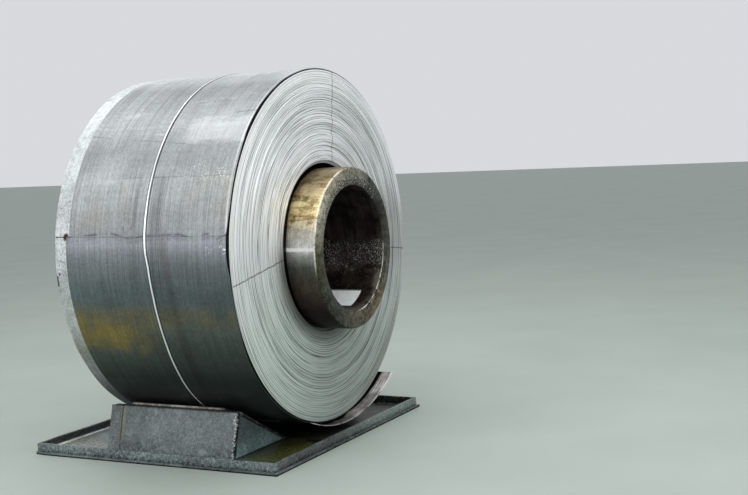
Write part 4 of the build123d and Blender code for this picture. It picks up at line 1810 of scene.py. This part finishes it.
@dataclass
class LooseTurn:
    """The last turn: two sheets joined at the cross seam, and the tail that springs open."""

    thickness: float = 3.0 * MM
    root_angle: float = -106.0
    sheet_front: float = 5.0 * MM
    upper_back: float = 71.5 * MM
    lower_back: float = 57.5 * MM
    front_edge: tuple[Point2, ...] = (
        (0, 5), (95, 5), (102, 2), (108, 3), (113, 6), (118, 3), (128, 8), (139, 8), (145, 4),
        (164, 3), (168, 6), (171.8, 12), (178, 11.5), (181, 8), (184, 2), (192, 1), (204, 3),
        (212, 7), (240, 5), (360, 5),
    )
    tail_mid_angle: float = -77.0
    tail_tip_angle: float = -49.0
    tail_mid_gap: float = 52.0 * MM
    tail_tip_gap: float = 113.0 * MM
    tail_clearance: float = 19.0 * MM
    seam_width: float = 0.6
    edge_lift: float = 3.0 * MM
    kink: float = 0.9 * MM
    slack: float = 0.35 * MM

    def sheet_shift(self, front: float, back: float) -> Callable[[Vector], Vector]:
        """Gives the function that loosens a sheet between its two edges."""

        def shift(point: Vector) -> Vector:
            """Lifts the sheet at the top and at its edges, and kinks it at the seam.

            Args:
                point: a vertex.

            Returns:
                How far it moves.
            """
            angle, _ = polar(point)
            away = outwards(point)
            from_front = point.y - front
            from_back = back - point.y
            front_edge = bump(angle, 138, 42) * (1 - ramp_up(from_front, 0, 0.09))
            back_edge = bump(angle, 145, 50) * (1 - ramp_up(from_back, 0, 0.05))
            lift = self.edge_lift * front_edge + 1.0 * MM * back_edge
            lift += self.kink * bump(angle, 175.0, 3.5)
            soft = wander(7.0, circling(angle, 5, point.y * 3))
            lift += self.slack * (soft - 1)
            wave = bump(angle, 138, 40) * wander(9.0, Vector((angle / 9, 0, point.y * 2)))
            lift += 0.9 * MM * wave
            edge = 1 - ramp_up(min(from_front, from_back), 0, 0.02)
            ripple = wander(8.0, circling(angle, 22))
            drawn_in = between(angle, self.front_edge) * MM - self.sheet_front
            drawn_in *= 1 - ramp_up(from_front, 0, 0.04)
            return away * lift + Vector((0, edge * 0.6 * MM * ripple + drawn_in, 0))

        return shift

    def places(self, front: float, back: float) -> list[float]:
        """Places across a sheet, closer together near its edges.

        Args:
            front: y of its front edge.
            back: y of its back edge.

        Returns:
            The places in rising order.
        """
        inner = [front + (back - front) * k / 14 for k in range(1, 14)]
        near = [0, 6 * MM, 16 * MM, 30 * MM]
        return sorted({front + n for n in near} | {back - n for n in near} | set(inner))

    def build_sheet(
        self, name: str, start: float, end: float, front: float, back: float, material: Material
    ) -> None:
        """Makes one of the two sheets of the loose turn.

        Args:
            name: the piece's name.
            start: first angle.
            end: last angle.
            front: y of its front edge.
            back: y of its back edge.
            material: its finish.
        """
        places, shift = self.places(front, back), self.sheet_shift(front, back)
        steps = max(8, int((end - start) / 1.25))
        bm = curved_sheet(places, WRAP_RADIUS, start, end - start, steps, shift, self.thickness)
        make_piece(name, bm, material, ["outer_wrap"])

    def tail_gap(self, angle: float) -> float:
        """Gap between the tail and the turn under it, on the arc through its three points.

        Args:
            angle: degrees from +X towards +Z.

        Returns:
            The gap in metres.
        """
        points = [
            on_axis(self.root_angle, WRAP_RADIUS, 0),
            on_axis(self.tail_mid_angle, WRAP_RADIUS + self.tail_mid_gap, 0),
            on_axis(self.tail_tip_angle, WRAP_RADIUS + self.tail_tip_gap, 0),
        ]
        centre, radius = circle_through(*points)
        away = Vector((math.cos(math.radians(angle)), math.sin(math.radians(angle))))
        middle = Vector((centre.x, centre.y - AXIS_Z))
        along = middle.dot(away)
        reach = along + math.sqrt(radius**2 - middle.length_squared + along**2)
        return reach - WRAP_RADIUS

    def build_tail(self, material: Material) -> None:
        """Makes the sprung tail, which leaves the coil below and ends in a square cut.

        Args:
            material: its finish.
        """
        front = FACE_FRONT + self.sheet_front
        back = box_of("right_chock_shell")[0].y - self.tail_clearance
        places = evenly(front, back, 12)

        def shift(point: Vector) -> Vector:
            """Moves a point of the plain arc out to the sprung one.

            Args:
                point: a vertex.

            Returns:
                How far it moves.
            """
            angle, _ = polar(point)
            signed = angle - 360 if angle > 180 else angle
            away = outwards(point)
            tip = ramp_up(signed, -70, self.tail_tip_angle)
            soft = wander(11.0, Vector((signed / 9, point.y * 12, 0)))
            return away * (self.tail_gap(signed) + tip * 1.5 * MM * (soft - 1))

        first, sweep = self.root_angle, self.tail_tip_angle - self.root_angle
        bm = curved_sheet(places, WRAP_RADIUS, first, sweep, 64, shift, self.thickness)
        make_piece("loose_tail", bm, material, ["outer_wrap"])

    def build_seam(self, material: Material) -> None:
        """Makes the low ridge where the two sheets are joined.

        Args:
            material: its finish.
        """
        front = FACE_FRONT + 12 * MM
        back = FACE_BACK - self.upper_back
        first = SEAM_ANGLE - self.seam_width / 2

        def shift(point: Vector) -> Vector:
            """Crowns the ridge and lets it wander and break.

            Args:
                point: a vertex.

            Returns:
                How far it moves.
            """
            angle, _ = polar(point)
            away = outwards(point)
            crown = bump(angle, SEAM_ANGLE, self.seam_width / 2) * 0.5 * MM
            broken = 0.7 + 0.6 * wander(13.0, Vector((0, point.y * 30, 0)))
            sway = 1.4 * MM * wander(14.0, Vector((0, point.y * 9, 0)))
            return away * (crown * broken - 1.0 * MM) + Vector((0, 0, sway))

        places, radius = evenly(front, back, 90), WRAP_RADIUS + 1.2 * MM
        bm = curved_sheet(places, radius, first, self.seam_width, 6, shift, 1.5 * MM)
        make_piece("cross_seam", bm, material)

    def build(self, material: Material, tail: Material) -> None:
        """Makes both sheets, the seam and the tail.

        Args:
            material: its finish.
            tail: the tail's finish.
        """
        front = FACE_FRONT + self.sheet_front
        for name, start, end, back in (
            ("loose_turn_upper", self.root_angle, SEAM_ANGLE, self.upper_back),
            ("loose_turn_lower", SEAM_ANGLE, 360 + self.root_angle, self.lower_back),
        ):
            self.build_sheet(name, start, end, front, FACE_BACK - back, material)
        self.build_tail(tail)
        self.build_seam(material)


def circle_through(first: Vector, second: Vector, third: Vector) -> tuple[Vector, float]:
    """Circle through three points of the XZ plane.

    Args:
        first: a point on it.
        second: a point on it.
        third: a point on it.

    Returns:
        Its centre as (x, z) and its radius.
    """
    a, b, c = (Vector((p.x, p.z)) for p in (first, second, third))
    ab, ac = b - a, c - a
    cross = 2 * (ab.x * ac.y - ab.y * ac.x)
    x = (ac.y * ab.length_squared - ab.y * ac.length_squared) / cross
    y = (ab.x * ac.length_squared - ac.x * ab.length_squared) / cross
    offset = Vector((x, y))
    return a + offset, offset.length


@dataclass
class Strap:
    """Flat band pulled round the loose turn; it drifts and bends where it passes the seam."""

    steps: int = 220
    path: tuple[Point2, ...] = STRAP_PATH

    def build(self, material: Material, loose: LooseTurn) -> None:
        """Makes the band; it follows the loose turn's lift at the top.

        Args:
            material: its finish.
            loose: the turn that it lies on.
        """
        low, high = STRAP_LOW.y, STRAP_HIGH.y
        outer = STRAP_HIGH.x
        bm = bmesh.new()
        corners = [
            (outer - 0.3 * MM, low), (outer, low + 2 * MM), (outer, high - 2 * MM),
            (outer - 0.3 * MM, high),
        ]
        corners += [(WRAP_RADIUS - 1.0 * MM, high), (WRAP_RADIUS - 1.0 * MM, low)]
        section = [Vector((radius, y, AXIS_Z)) for radius, y in corners]
        spin_round(bm, chain(bm, section, close=True), 360, self.steps)
        follow = loose.sheet_shift(FACE_FRONT + loose.sheet_front, FACE_BACK - loose.upper_back)

        def shift(point: Vector) -> Vector:
            """Lift of the turn under the band, and the band's own slow sway.

            Args:
                point: a vertex.

            Returns:
                How far it moves.
            """
            angle, _ = polar(point)
            sway = between(angle, self.path) * MM
            lifted = follow(point)
            away = outwards(point)
            stands_off = 2.2 * MM * bump(angle, 140, 42)
            return away * (lifted.dot(away) + stands_off) + Vector((0, sway, 0))

        move_all(bm, shift)
        make_piece("strap_band", bm, material, ["strap"], sharp=50)


@dataclass
class SpoolSleeve:
    """Thick turned tube through the coil, with worn chamfers and a rough bore."""

    bore_radius: float = SLEEVE_BORE
    outer_chamfer: float = 7.0 * MM
    bore_chamfer: float = 5.0 * MM
    steps: int = 200

    def half_section(self) -> list[Vector]:
        """Corners of the wall's section, with rounded chamfers at all four edges.

        Returns:
            The corners in order.
        """
        low, high = SLEEVE_LOW.y, SLEEVE_HIGH.y
        outer, inner = SLEEVE_RADIUS, self.bore_radius
        out, cut = self.outer_chamfer, self.bore_chamfer
        corners = [
            (outer, low + out * 1.2), (outer - out * 0.25, low + out * 0.35), (outer - out, low),
            (inner + cut, low), (inner + cut * 0.3, low + cut * 0.3), (inner, low + cut),
        ]
        places = [low + 60 * MM, low + 0.35, (low + high) / 2, high - 0.35, high - 60 * MM]
        corners += [(inner, y) for y in places]
        corners += [(r, low + high - y) for r, y in corners[5::-1]]
        corners += [(outer, y) for y in places[::-1]]
        return [Vector((r, y, SLEEVE_Z)) for r, y in corners]

    def build(self, material: Material) -> None:
        """Makes the tube with small dents in its edges.

        Args:
            material: its finish.
        """
        bm = bmesh.new()
        spin_round(bm, chain(bm, self.half_section(), close=True), 360, self.steps, SLEEVE_Z)

        def shift(point: Vector) -> Vector:
            """Small wear of the edges, the same all the way through the wall.

            Args:
                point: a vertex.

            Returns:
                How far it moves.
            """
            angle, radius = polar(point, SLEEVE_Z)
            away = outwards(point, SLEEVE_Z)
            near_end = 1 - ramp_up(min(point.y - SLEEVE_LOW.y, SLEEVE_HIGH.y - point.y), 0, 12 * MM)
            worn = wander(17.0, circling(angle, 12, radius * 20))
            return away * (-near_end * 0.7 * MM * max(worn, 0) * (1 if radius > 0.3 else -1))

        move_all(bm, shift)
        make_piece("spool_sleeve", bm, material, ["sleeve"], sharp=25)


@dataclass
class BoreLabel:
    """Blank sheet stuck to the wall of the sleeve's bore."""

    thickness: float = 0.4 * MM
    radius: float = 253.8 * MM
    low_angle: float = -76.0
    high_angle: float = -50.0

    def build(self, material: Material) -> None:
        """Makes the sheet with its upper edge lifted off the wall.

        Args:
            material: its finish.
        """
        low, high = box_of("bore_label")
        places, sweep = evenly(low.y, high.y, 10), self.high_angle - self.low_angle

        def shift(point: Vector) -> Vector:
            """Lifts the sheet a little off the wall along its upper edge.

            Args:
                point: a vertex.

            Returns:
                How far it moves.
            """
            angle, _ = polar(point, SLEEVE_Z)
            away = outwards(point, SLEEVE_Z)
            upper = ramp_up(angle - 360, self.high_angle - 6, self.high_angle)
            return away * (-upper * 1.5 * MM)

        first = self.low_angle
        bm = curved_sheet(places, self.radius, first, sweep, 20, shift, self.thickness, SLEEVE_Z)
        make_piece("label_sheet", bm, material, ["bore_label"])


# ---------------------------------------------------------------- the cradle


@dataclass
class Cradle:
    """Base plate with a rim of flat bars, and the welds between them."""

    edge_wear: float = 1.2 * MM
    weld_radius: float = 3.2 * MM
    bead: float = 0.12
    side_start: float = 0.06
    side_pitch: float = 0.22
    plate_step: float = 0.05
    bar_step: float = 0.03

    def build_plate(self, material: Material) -> None:
        """Makes the plate, its left corner bent and bitten.

        Args:
            material: its finish.
        """
        bm = bmesh.new()
        block(bm, PLATE_LOW, PLATE_HIGH)
        for axis in (0, 1):
            count = int((PLATE_HIGH[axis] - PLATE_LOW[axis]) / self.plate_step)
            cut_loops(
                bm, axis, [PLATE_LOW[axis] + self.plate_step * k for k in range(1, count + 1)]
            )
        corner = Vector((PLATE_LOW.x, PLATE_HIGH.y, 0))

        def shift(point: Vector) -> Vector:
            """Uneven edges, and the damage at the left corner.

            Args:
                point: a vertex.

            Returns:
                How far it moves.
            """
            edge_x = 1 - ramp_up(min(point.x - PLATE_LOW.x, PLATE_HIGH.x - point.x), 0, 5 * MM)
            edge_y = 1 - ramp_up(min(point.y - PLATE_LOW.y, PLATE_HIGH.y - point.y), 0, 5 * MM)
            ragged = wander(19.0, Vector((point.x * 14, point.y * 14, 0))) * 1.5 * MM
            inward = Vector((-math.copysign(edge_x, point.x), -math.copysign(edge_y, point.y), 0))
            near = 1 - ramp_up((Vector((point.x, point.y, 0)) - corner).length, 0, 40 * MM)
            return inward * abs(ragged) + Vector((near * 9 * MM, -near * 6 * MM, 0))

        move_all(bm, shift)
        bevel_sharp(bm, 1.0 * MM, 1, 60)
        make_piece("cradle_plate", bm, material, ["base_plate"])

    def build_rim(self, material: Material) -> None:
        """Makes the four bars, worn and slightly dented along their tops."""
        for number, name in enumerate(("front_rim", "back_rim", "left_rim", "right_rim")):
            low, high = box_of(name)
            bm = bmesh.new()
            block(bm, low, high)
            axis = 0 if high.x - low.x > high.y - low.y else 1
            count = int((high[axis] - low[axis]) / self.bar_step)
            cut_loops(bm, axis, [low[axis] + self.bar_step * k for k in range(1, count)])
            top = high.z
            seed = 23.0 + number

            def shift(point: Vector, top: float = top, seed: float = seed) -> Vector:
                """Dents in the top of the bar.

                Args:
                    point: a vertex.
                    top: the bar's top.
                    seed: where its noise is read.

                Returns:
                    How far it moves.
                """
                up = ramp_up(point.z, top - 20 * MM, top)
                dent = wander(seed, Vector((point.x * 9, point.y * 9, 0)))
                side = wander(seed + 1, Vector((point.x * 4, point.y * 4, 0)))
                down = Vector((0, 0, -max(dent, 0) * 1.6 * MM))
                return (down + Vector((side, side, 0)) * 0.5 * MM) * up

            move_all(bm, shift)
            bevel_sharp(bm, self.edge_wear, 2, 60)
            make_piece(f"{name}_bar", bm, material, [name])

    def build_welds(self, material: Material) -> None:
        """Makes the beads at the corners and along the foot of the rim.

        Args:
            material: its finish.
        """
        bm = bmesh.new()
        front, back = box_of("front_rim"), box_of("back_rim")
        left, right = box_of("left_rim"), box_of("right_rim")
        floor = PLATE_HIGH.z
        top = front[1].z - 3 * MM
        inner_x, inner_y = left[1].x, front[1].y
        far_x, far_y = right[0].x, back[0].y
        corners = [(x, y) for x in (inner_x, far_x) for y in (inner_y, far_y)]
        runs = [(Vector((x, y, floor)), Vector((x, y, top))) for x, y in corners]
        for y in (inner_y, far_y):
            for k in range(5):
                start = inner_x * (1 - 0.4 * k) + 30 * MM
                runs.append((Vector((start, y, floor)), Vector((start + self.bead, y, floor))))
        for x in (inner_x, far_x):
            for k in range(5):
                start = inner_y + self.side_start + self.side_pitch * k
                runs.append((Vector((x, start, floor)), Vector((x, start + self.bead, floor))))
        for number, (start, end) in enumerate(runs, 1):
            weld_bead(bm, start, end, self.weld_radius, number)
        make_piece("rim_welds", bm, material, sharp=60)

    def build(self, plate: Material, rim: Material, weld: Material) -> None:
        """Makes the plate, the rim and the welds.

        Args:
            plate: the plates' finish.
            rim: the bars' finish.
            weld: the welds' finish.
        """
        self.build_plate(plate)
        self.build_rim(rim)
        self.build_welds(weld)


@dataclass
class Chock:
    """Hollow wedge of folded plate with closed ends and a lining board on its ramp."""

    side: Side
    wall: float = 10.0 * MM
    flat: float = 25.0 * MM
    lean: float = 49.0 * MM
    toe: float = 6.0 * MM
    ramp_angle: float = 29.2
    end_inset: float = 4.0 * MM
    corner_round: float = 14.0 * MM
    weld_radius: float = 3.5 * MM
    foot_start: float = 0.02
    foot_pitch: float = 0.12
    foot_bead: float = 0.07
    board_step: float = 0.02
    board_thickness: float = 18.0 * MM
    taper: float = 62.0 * MM
    thin_end: float = 0.54

    def section(self, inset: float = 0.0) -> list[Point2]:
        """Outline (x, z) of the wedge on this side, drawn in by an inset from its plates.

        Args:
            inset: how far it is drawn in.

        Returns:
            The corners in order.
        """
        low, high = box_of("left_chock_shell")
        slope = math.tan(math.radians(self.ramp_angle))
        foot = low.z
        rise = high.z - foot
        outer_foot = low.x
        outer_top = outer_foot + self.lean
        ramp_top = outer_top + self.flat
        toe = high.x
        if inset:
            lean_shift = inset * math.hypot(self.lean, rise) / rise
            ramp_shift = inset / math.sin(math.radians(self.ramp_angle))
            top = high.z - inset
            ramp_at = ramp_top - ramp_shift + inset / slope
            foot_at = ramp_at + (top - foot) / slope
            points = [
                (outer_foot + lean_shift, foot),
                (outer_top + lean_shift - self.lean * inset / rise, top), (ramp_at, top),
                (foot_at, foot),
            ]
        else:
            points = [
                (outer_foot, foot), (outer_top, high.z), (ramp_top, high.z), (toe, foot + self.toe),
                (toe, foot),
            ]
        return [(self.side.value * x, z) for x, z in points]

    def build_shell(self, material: Material) -> None:
        """Makes the folded plate as one hollow section.

        Args:
            material: its finish.
        """
        low, high = box_of(f"{self.side.word}_chock_shell")
        bm = bmesh.new()
        prism(bm, self.section() + self.section(self.wall)[::-1], low.y, high.y)
        cuts = [self.corner_round * k / 4 for k in range(1, 5)]
        cut_loops(bm, 1, [low.y + c for c in cuts] + [high.y - c for c in cuts])

        def shift(point: Vector) -> Vector:
            """Rounds the two ends of the top fold.

            Args:
                point: a vertex.

            Returns:
                How far it moves.
            """
            from_end = max(0.0, min(point.y - low.y, high.y - point.y, self.corner_round))
            inward = self.corner_round - from_end
            drop = self.corner_round - math.sqrt(max(0.0, self.corner_round**2 - inward**2))
            return Vector((0, 0, -drop)) * ramp_up(point.z, high.z - 30 * MM, high.z)

        move_all(bm, shift)
        bevel_sharp(bm, 2.0 * MM, 2, 20)
        make_piece(
            f"{self.side.word}_chock_plate", bm, material,
            [f"{self.side.word}_chock_shell"],
        )

    def build_ends(self, material: Material) -> None:
        """Makes the two triangular end plates."""
        for end in ("front", "back"):
            name = f"{self.side.word}_chock_{end}_end"
            low, high = box_of(name)
            bm = bmesh.new()
            prism(bm, self.section(self.wall), low.y, high.y)
            bevel_sharp(bm, 0.8 * MM, 1, 20)
            make_piece(f"{name}_plate", bm, material, [name])

    def build_strip(self, material: Material) -> None:
        """Makes the short closing plate laid on the outer side near its back end.

        Args:
            material: its finish.
        """
        high = box_of("left_chock_shell")[1]
        outer = self.section()
        foot, top = Vector((outer[0][0], 0, outer[0][1])), Vector((outer[1][0], 0, outer[1][1]))
        out = Vector(((top - foot).z, 0, (top - foot).x)).normalized()
        out = Vector((-self.side.value * abs(out.x), 0, abs(out.z)))
        raise_by = 1.6 * MM
        corners = [foot, foot + out * raise_by, top + out * raise_by, top]
        bm = bmesh.new()
        prism(bm, [(c.x, c.z) for c in corners], high.y - END_STRIP, high.y - 1 * MM)
        bevel_sharp(bm, 0.6 * MM, 1, 40)
        make_piece(f"{self.side.word}_chock_end_strip", bm, material)

    def build_welds(self, material: Material) -> None:
        """Makes the beads round the end plates and along the foot.

        Args:
            material: its finish.
        """
        low, high = box_of(f"{self.side.word}_chock_shell")
        bm = bmesh.new()
        corners = self.section(self.wall * 0.75)
        seed = 40.0 + 10 * self.side.value
        for y in (low.y + self.end_inset - 0.5 * MM, high.y - self.end_inset + 0.5 * MM):
            path = [Vector((x, y, z)) for x, z in corners]
            for start, end in zip(path, path[1:]):
                run = (end - start).normalized() * 4 * MM
                weld_bead(bm, start + run, end - run, self.weld_radius, seed)
                seed += 1
        foot_x, foot_z = self.section()[0]
        x, z = foot_x - self.side.value * 1 * MM, foot_z + 1 * MM
        for k in range(5):
            start_y = low.y + self.foot_start + self.foot_pitch * k
            start, end = Vector((x, start_y, z)), Vector((x, start_y + self.foot_bead, z))
            weld_bead(bm, start, end, self.weld_radius * 0.9, seed)
            seed += 1
        make_piece(f"{self.side.word}_chock_welds", bm, material, sharp=60)

    def build_pad(self, material: Material) -> None:
        """Makes the lining board, pressed a little where the coil lies.

        Args:
            material: its finish.
        """
        name = f"{self.side.word}_pad"
        low, high = box_of(name)
        slope = math.radians(self.ramp_angle)
        thick = self.board_thickness
        rise_x, rise_z = thick * math.sin(slope), thick * math.cos(slope)
        if self.side is Side.LEFT:
            start_x, end_x = low.x, high.x - rise_x
        else:
            start_x, end_x = -high.x, -low.x - rise_x
        top_z, foot_z = high.z - rise_z, low.z
        run = self.taper / math.hypot(end_x - start_x, foot_z - top_z)
        taper_x = start_x + rise_x + (end_x - start_x) * run
        taper_z = top_z + rise_z + (foot_z - top_z) * run
        corners = [
            (start_x, top_z), (end_x, foot_z), (end_x + rise_x, foot_z + rise_z),
            (taper_x, taper_z), (start_x + rise_x * self.thin_end, top_z + rise_z * self.thin_end),
        ]
        bm = bmesh.new()
        prism(bm, [(self.side.value * x, z) for x, z in corners], low.y, high.y)
        count = int((high.y - low.y) / self.board_step)
        cut_loops(bm, 1, [low.y + self.board_step * k for k in range(1, count)])

        def shift(point: Vector) -> Vector:
            """Uneven upper edge of the board.

            Args:
                point: a vertex.

            Returns:
                How far it moves.
            """
            upper = ramp_up(point.z, top_z - 0.02, top_z + 0.01)
            rough = wander(31.0, Vector((0, point.y * 25, 0)))
            return Vector((0, 0, -abs(rough) * 1.4 * MM)) * upper

        move_all(bm, shift)
        bevel_sharp(bm, 1.0 * MM, 1, 40)
        make_piece(f"{name}_board", bm, material, [name])

    def build(self, plate: Material, end: Material, weld: Material, board: Material) -> None:
        """Makes the wedge, its welds and its board.

        Args:
            plate: the plates' finish.
            end: the end plates' finish.
            weld: the welds' finish.
            board: the board's finish.
        """
        self.build_shell(plate)
        self.build_ends(end)
        self.build_strip(plate)
        self.build_welds(weld)
        self.build_pad(board)


# ---------------------------------------------------------------- the studio


@dataclass
class Studio:
    """Pale floor, soft lamps and the camera of the photograph."""

    focal_pixels: float = 1245.2
    image_width: int = 748
    camera_place: tuple[float, float, float] = (-4.4398, -2.9961, 1.2000)
    heading: float = 62.745
    pitch: float = -4.723
    roll: float = -2.726
    floor_tone: Colour = (0.352, 0.408, 0.365, 1)
    sky: float = 0.5
    sky_reflected: float = 0.45
    sky_seen: float = 0.22

    def build_floor(self) -> None:
        """Makes the floor with a faint, even texture."""
        bm = bmesh.new()
        bmesh.ops.create_grid(bm, x_segments=2, y_segments=2, size=40)
        mesh = bpy.data.meshes.new("floor")
        bm.to_mesh(mesh)
        bm.free()
        material = bpy.data.materials.new("floor")
        material.use_nodes = True
        graph = Graph(material.node_tree)
        shader = material.node_tree.nodes["Principled BSDF"]
        shader.inputs["Roughness"].default_value = 0.6
        graph.read_place()
        soft = graph.noise(1.6, 4.0, 0.55)
        dark = tuple(c * 0.93 for c in self.floor_tone[:3]) + (1,)
        graph.feed(shader.inputs["Base Color"], soft.ramp(((0.35, dark), (0.65, self.floor_tone))))
        mesh.materials.append(material)
        floor = bpy.data.objects.new("floor", mesh)
        bpy.context.scene.collection.objects.link(floor)

    def build_world(self) -> None:
        """Makes the pale surroundings that the camera and the metal see."""
        world = bpy.data.worlds.new("studio")
        bpy.context.scene.world = world
        world.use_nodes = True
        graph = Graph(world.node_tree)
        back = world.node_tree.nodes["Background"]
        rays = graph.node("ShaderNodeLightPath").outputs
        kinds = ("Glossy", "Transmission", "Camera")
        glossy, through, seen = (Value(graph, rays[f"Is {kind} Ray"]) for kind in kinds)
        graph.feed(back.inputs["Color"], (0.95, 0.97, 1.0, 1))
        strength = (
            graph.most(glossy, through) * self.sky_reflected + seen * self.sky_seen + self.sky
        )
        graph.feed(back.inputs["Strength"], strength)

    def lamp(
        self, name: str, place: Sequence[float], aim: Sequence[float], size: Point2, power: float
    ) -> None:
        """Adds a soft rectangular lamp.

        Args:
            name: its name.
            place: where it hangs.
            aim: the point that it faces.
            size: width and height.
            power: its power in watts.
        """
        light = bpy.data.lights.new(name, "AREA")
        light.shape = "RECTANGLE"
        light.size, light.size_y = size
        light.energy = power
        lamp = bpy.data.objects.new(name, light)
        lamp.location = place
        lamp.rotation_euler = (Vector(aim) - Vector(place)).to_track_quat("-Z", "Y").to_euler()
        bpy.context.scene.collection.objects.link(lamp)

    def build_lamps(self) -> None:
        """Hangs the lamps: a wide one overhead, one at the left and one behind the camera."""
        self.lamp("overhead", (-0.5, -0.5, 5.2), (0, -0.1, 0.8), (6.5, 6.5), 260)
        self.lamp("left_window", (-6.0, 2.6, 2.4), (0, 0, 1.0), (2.6, 2.6), 130)
        self.lamp("front_fill", (-1.5, -6.5, 2.6), (0, 0, 0.8), (4.0, 3.0), 120)

    def build_camera(self) -> None:
        """Sets the camera at the photograph's place, heading, pitch and roll."""
        heading, pitch, roll = (math.radians(a) for a in (self.heading, self.pitch, self.roll))
        level = math.cos(pitch)
        forward = Vector((math.sin(heading) * level, math.cos(heading) * level, math.sin(pitch)))
        right = Vector((math.cos(heading), -math.sin(heading), 0))
        up = right.cross(forward)
        tilted_right = right * math.cos(roll) + up * math.sin(roll)
        tilted_up = up * math.cos(roll) - right * math.sin(roll)
        turn = Matrix((tilted_right, tilted_up, -forward)).transposed().to_4x4()
        data = bpy.data.cameras.new("photo_view")
        data.sensor_width = 36.0
        data.lens = self.focal_pixels / self.image_width * data.sensor_width
        camera = bpy.data.objects.new("photo_view", data)
        camera.matrix_world = Matrix.Translation(self.camera_place) @ turn
        bpy.context.scene.collection.objects.link(camera)
        bpy.context.scene.camera = camera

    def build(self) -> None:
        """Builds the floor, the surroundings, the lamps and the camera."""
        self.build_floor()
        self.build_world()
        self.build_lamps()
        self.build_camera()
        bpy.context.scene.view_settings.view_transform = "Standard"


def main() -> None:
    """Builds every sub-assembly in order."""
    logging.basicConfig(level=logging.INFO, format="%(name)s: %(message)s")
    effects = Effects()
    turns = TurnsFinish("strip_turns", metallic=0.55, roughness=0.45, bump=0.5).material(effects)
    sheet = SheetFinish("strip_sheet", metallic=0.75, roughness=0.42, bump=0.15).material(effects)
    tail = TailFinish("strip_inside", metallic=0.35, roughness=0.4, bump=0.25).material(effects)
    band = EdgeBandFinish("strip_band", metallic=0.6, roughness=0.42, bump=0.2).material(effects)
    steel = SleeveFinish("sleeve_steel", metallic=0.8, roughness=0.42, bump=0.35).material(effects)
    zinc = StrapFinish("strap_zinc", metallic=0.5, roughness=0.35, bump=0.1).material(effects)
    rim_paint = PaintFinish(
        "rim_paint", roughness=0.55, bump=0.5, tone=(0.062, 0.074, 0.074, 1),
        pale=(0.17, 0.187, 0.185, 1),
    ).material(effects)
    plate_paint = PaintFinish("plate_paint", roughness=0.5, bump=0.5, part=Part.PLATE).material(
        effects
    )
    side_paint = PaintFinish(
        "chock_paint", roughness=0.55, bump=0.5, part=Part.CHOCK_SIDE
    ).material(effects)
    end_paint = PaintFinish(
        "chock_end_paint", roughness=0.5, bump=0.4, tone=(0.098, 0.142, 0.142, 1),
        pale=(0.19, 0.25, 0.25, 1), part=Part.CHOCK_END,
    ).material(effects)
    weld = WeldFinish("weld_metal", metallic=0.3, roughness=0.55, bump=0.6).material(effects)
    board = BoardFinish("lining_board", roughness=0.8, bump=0.4).material(effects)
    label = LabelFinish("blank_label", roughness=0.5, bump=0.2).material(effects)

    coil = StripCoil()
    coil.build_turns(turns)
    coil.build_band(band)
    loose = LooseTurn()
    loose.build(sheet, tail)
    Strap().build(zinc, loose)
    SpoolSleeve().build(steel)
    BoreLabel().build(label)
    Cradle().build(plate_paint, rim_paint, weld)
    for side in Side:
        Chock(side).build(side_paint, end_paint, weld, board)
    Studio().build()


if __name__ == "__main__":
    main()
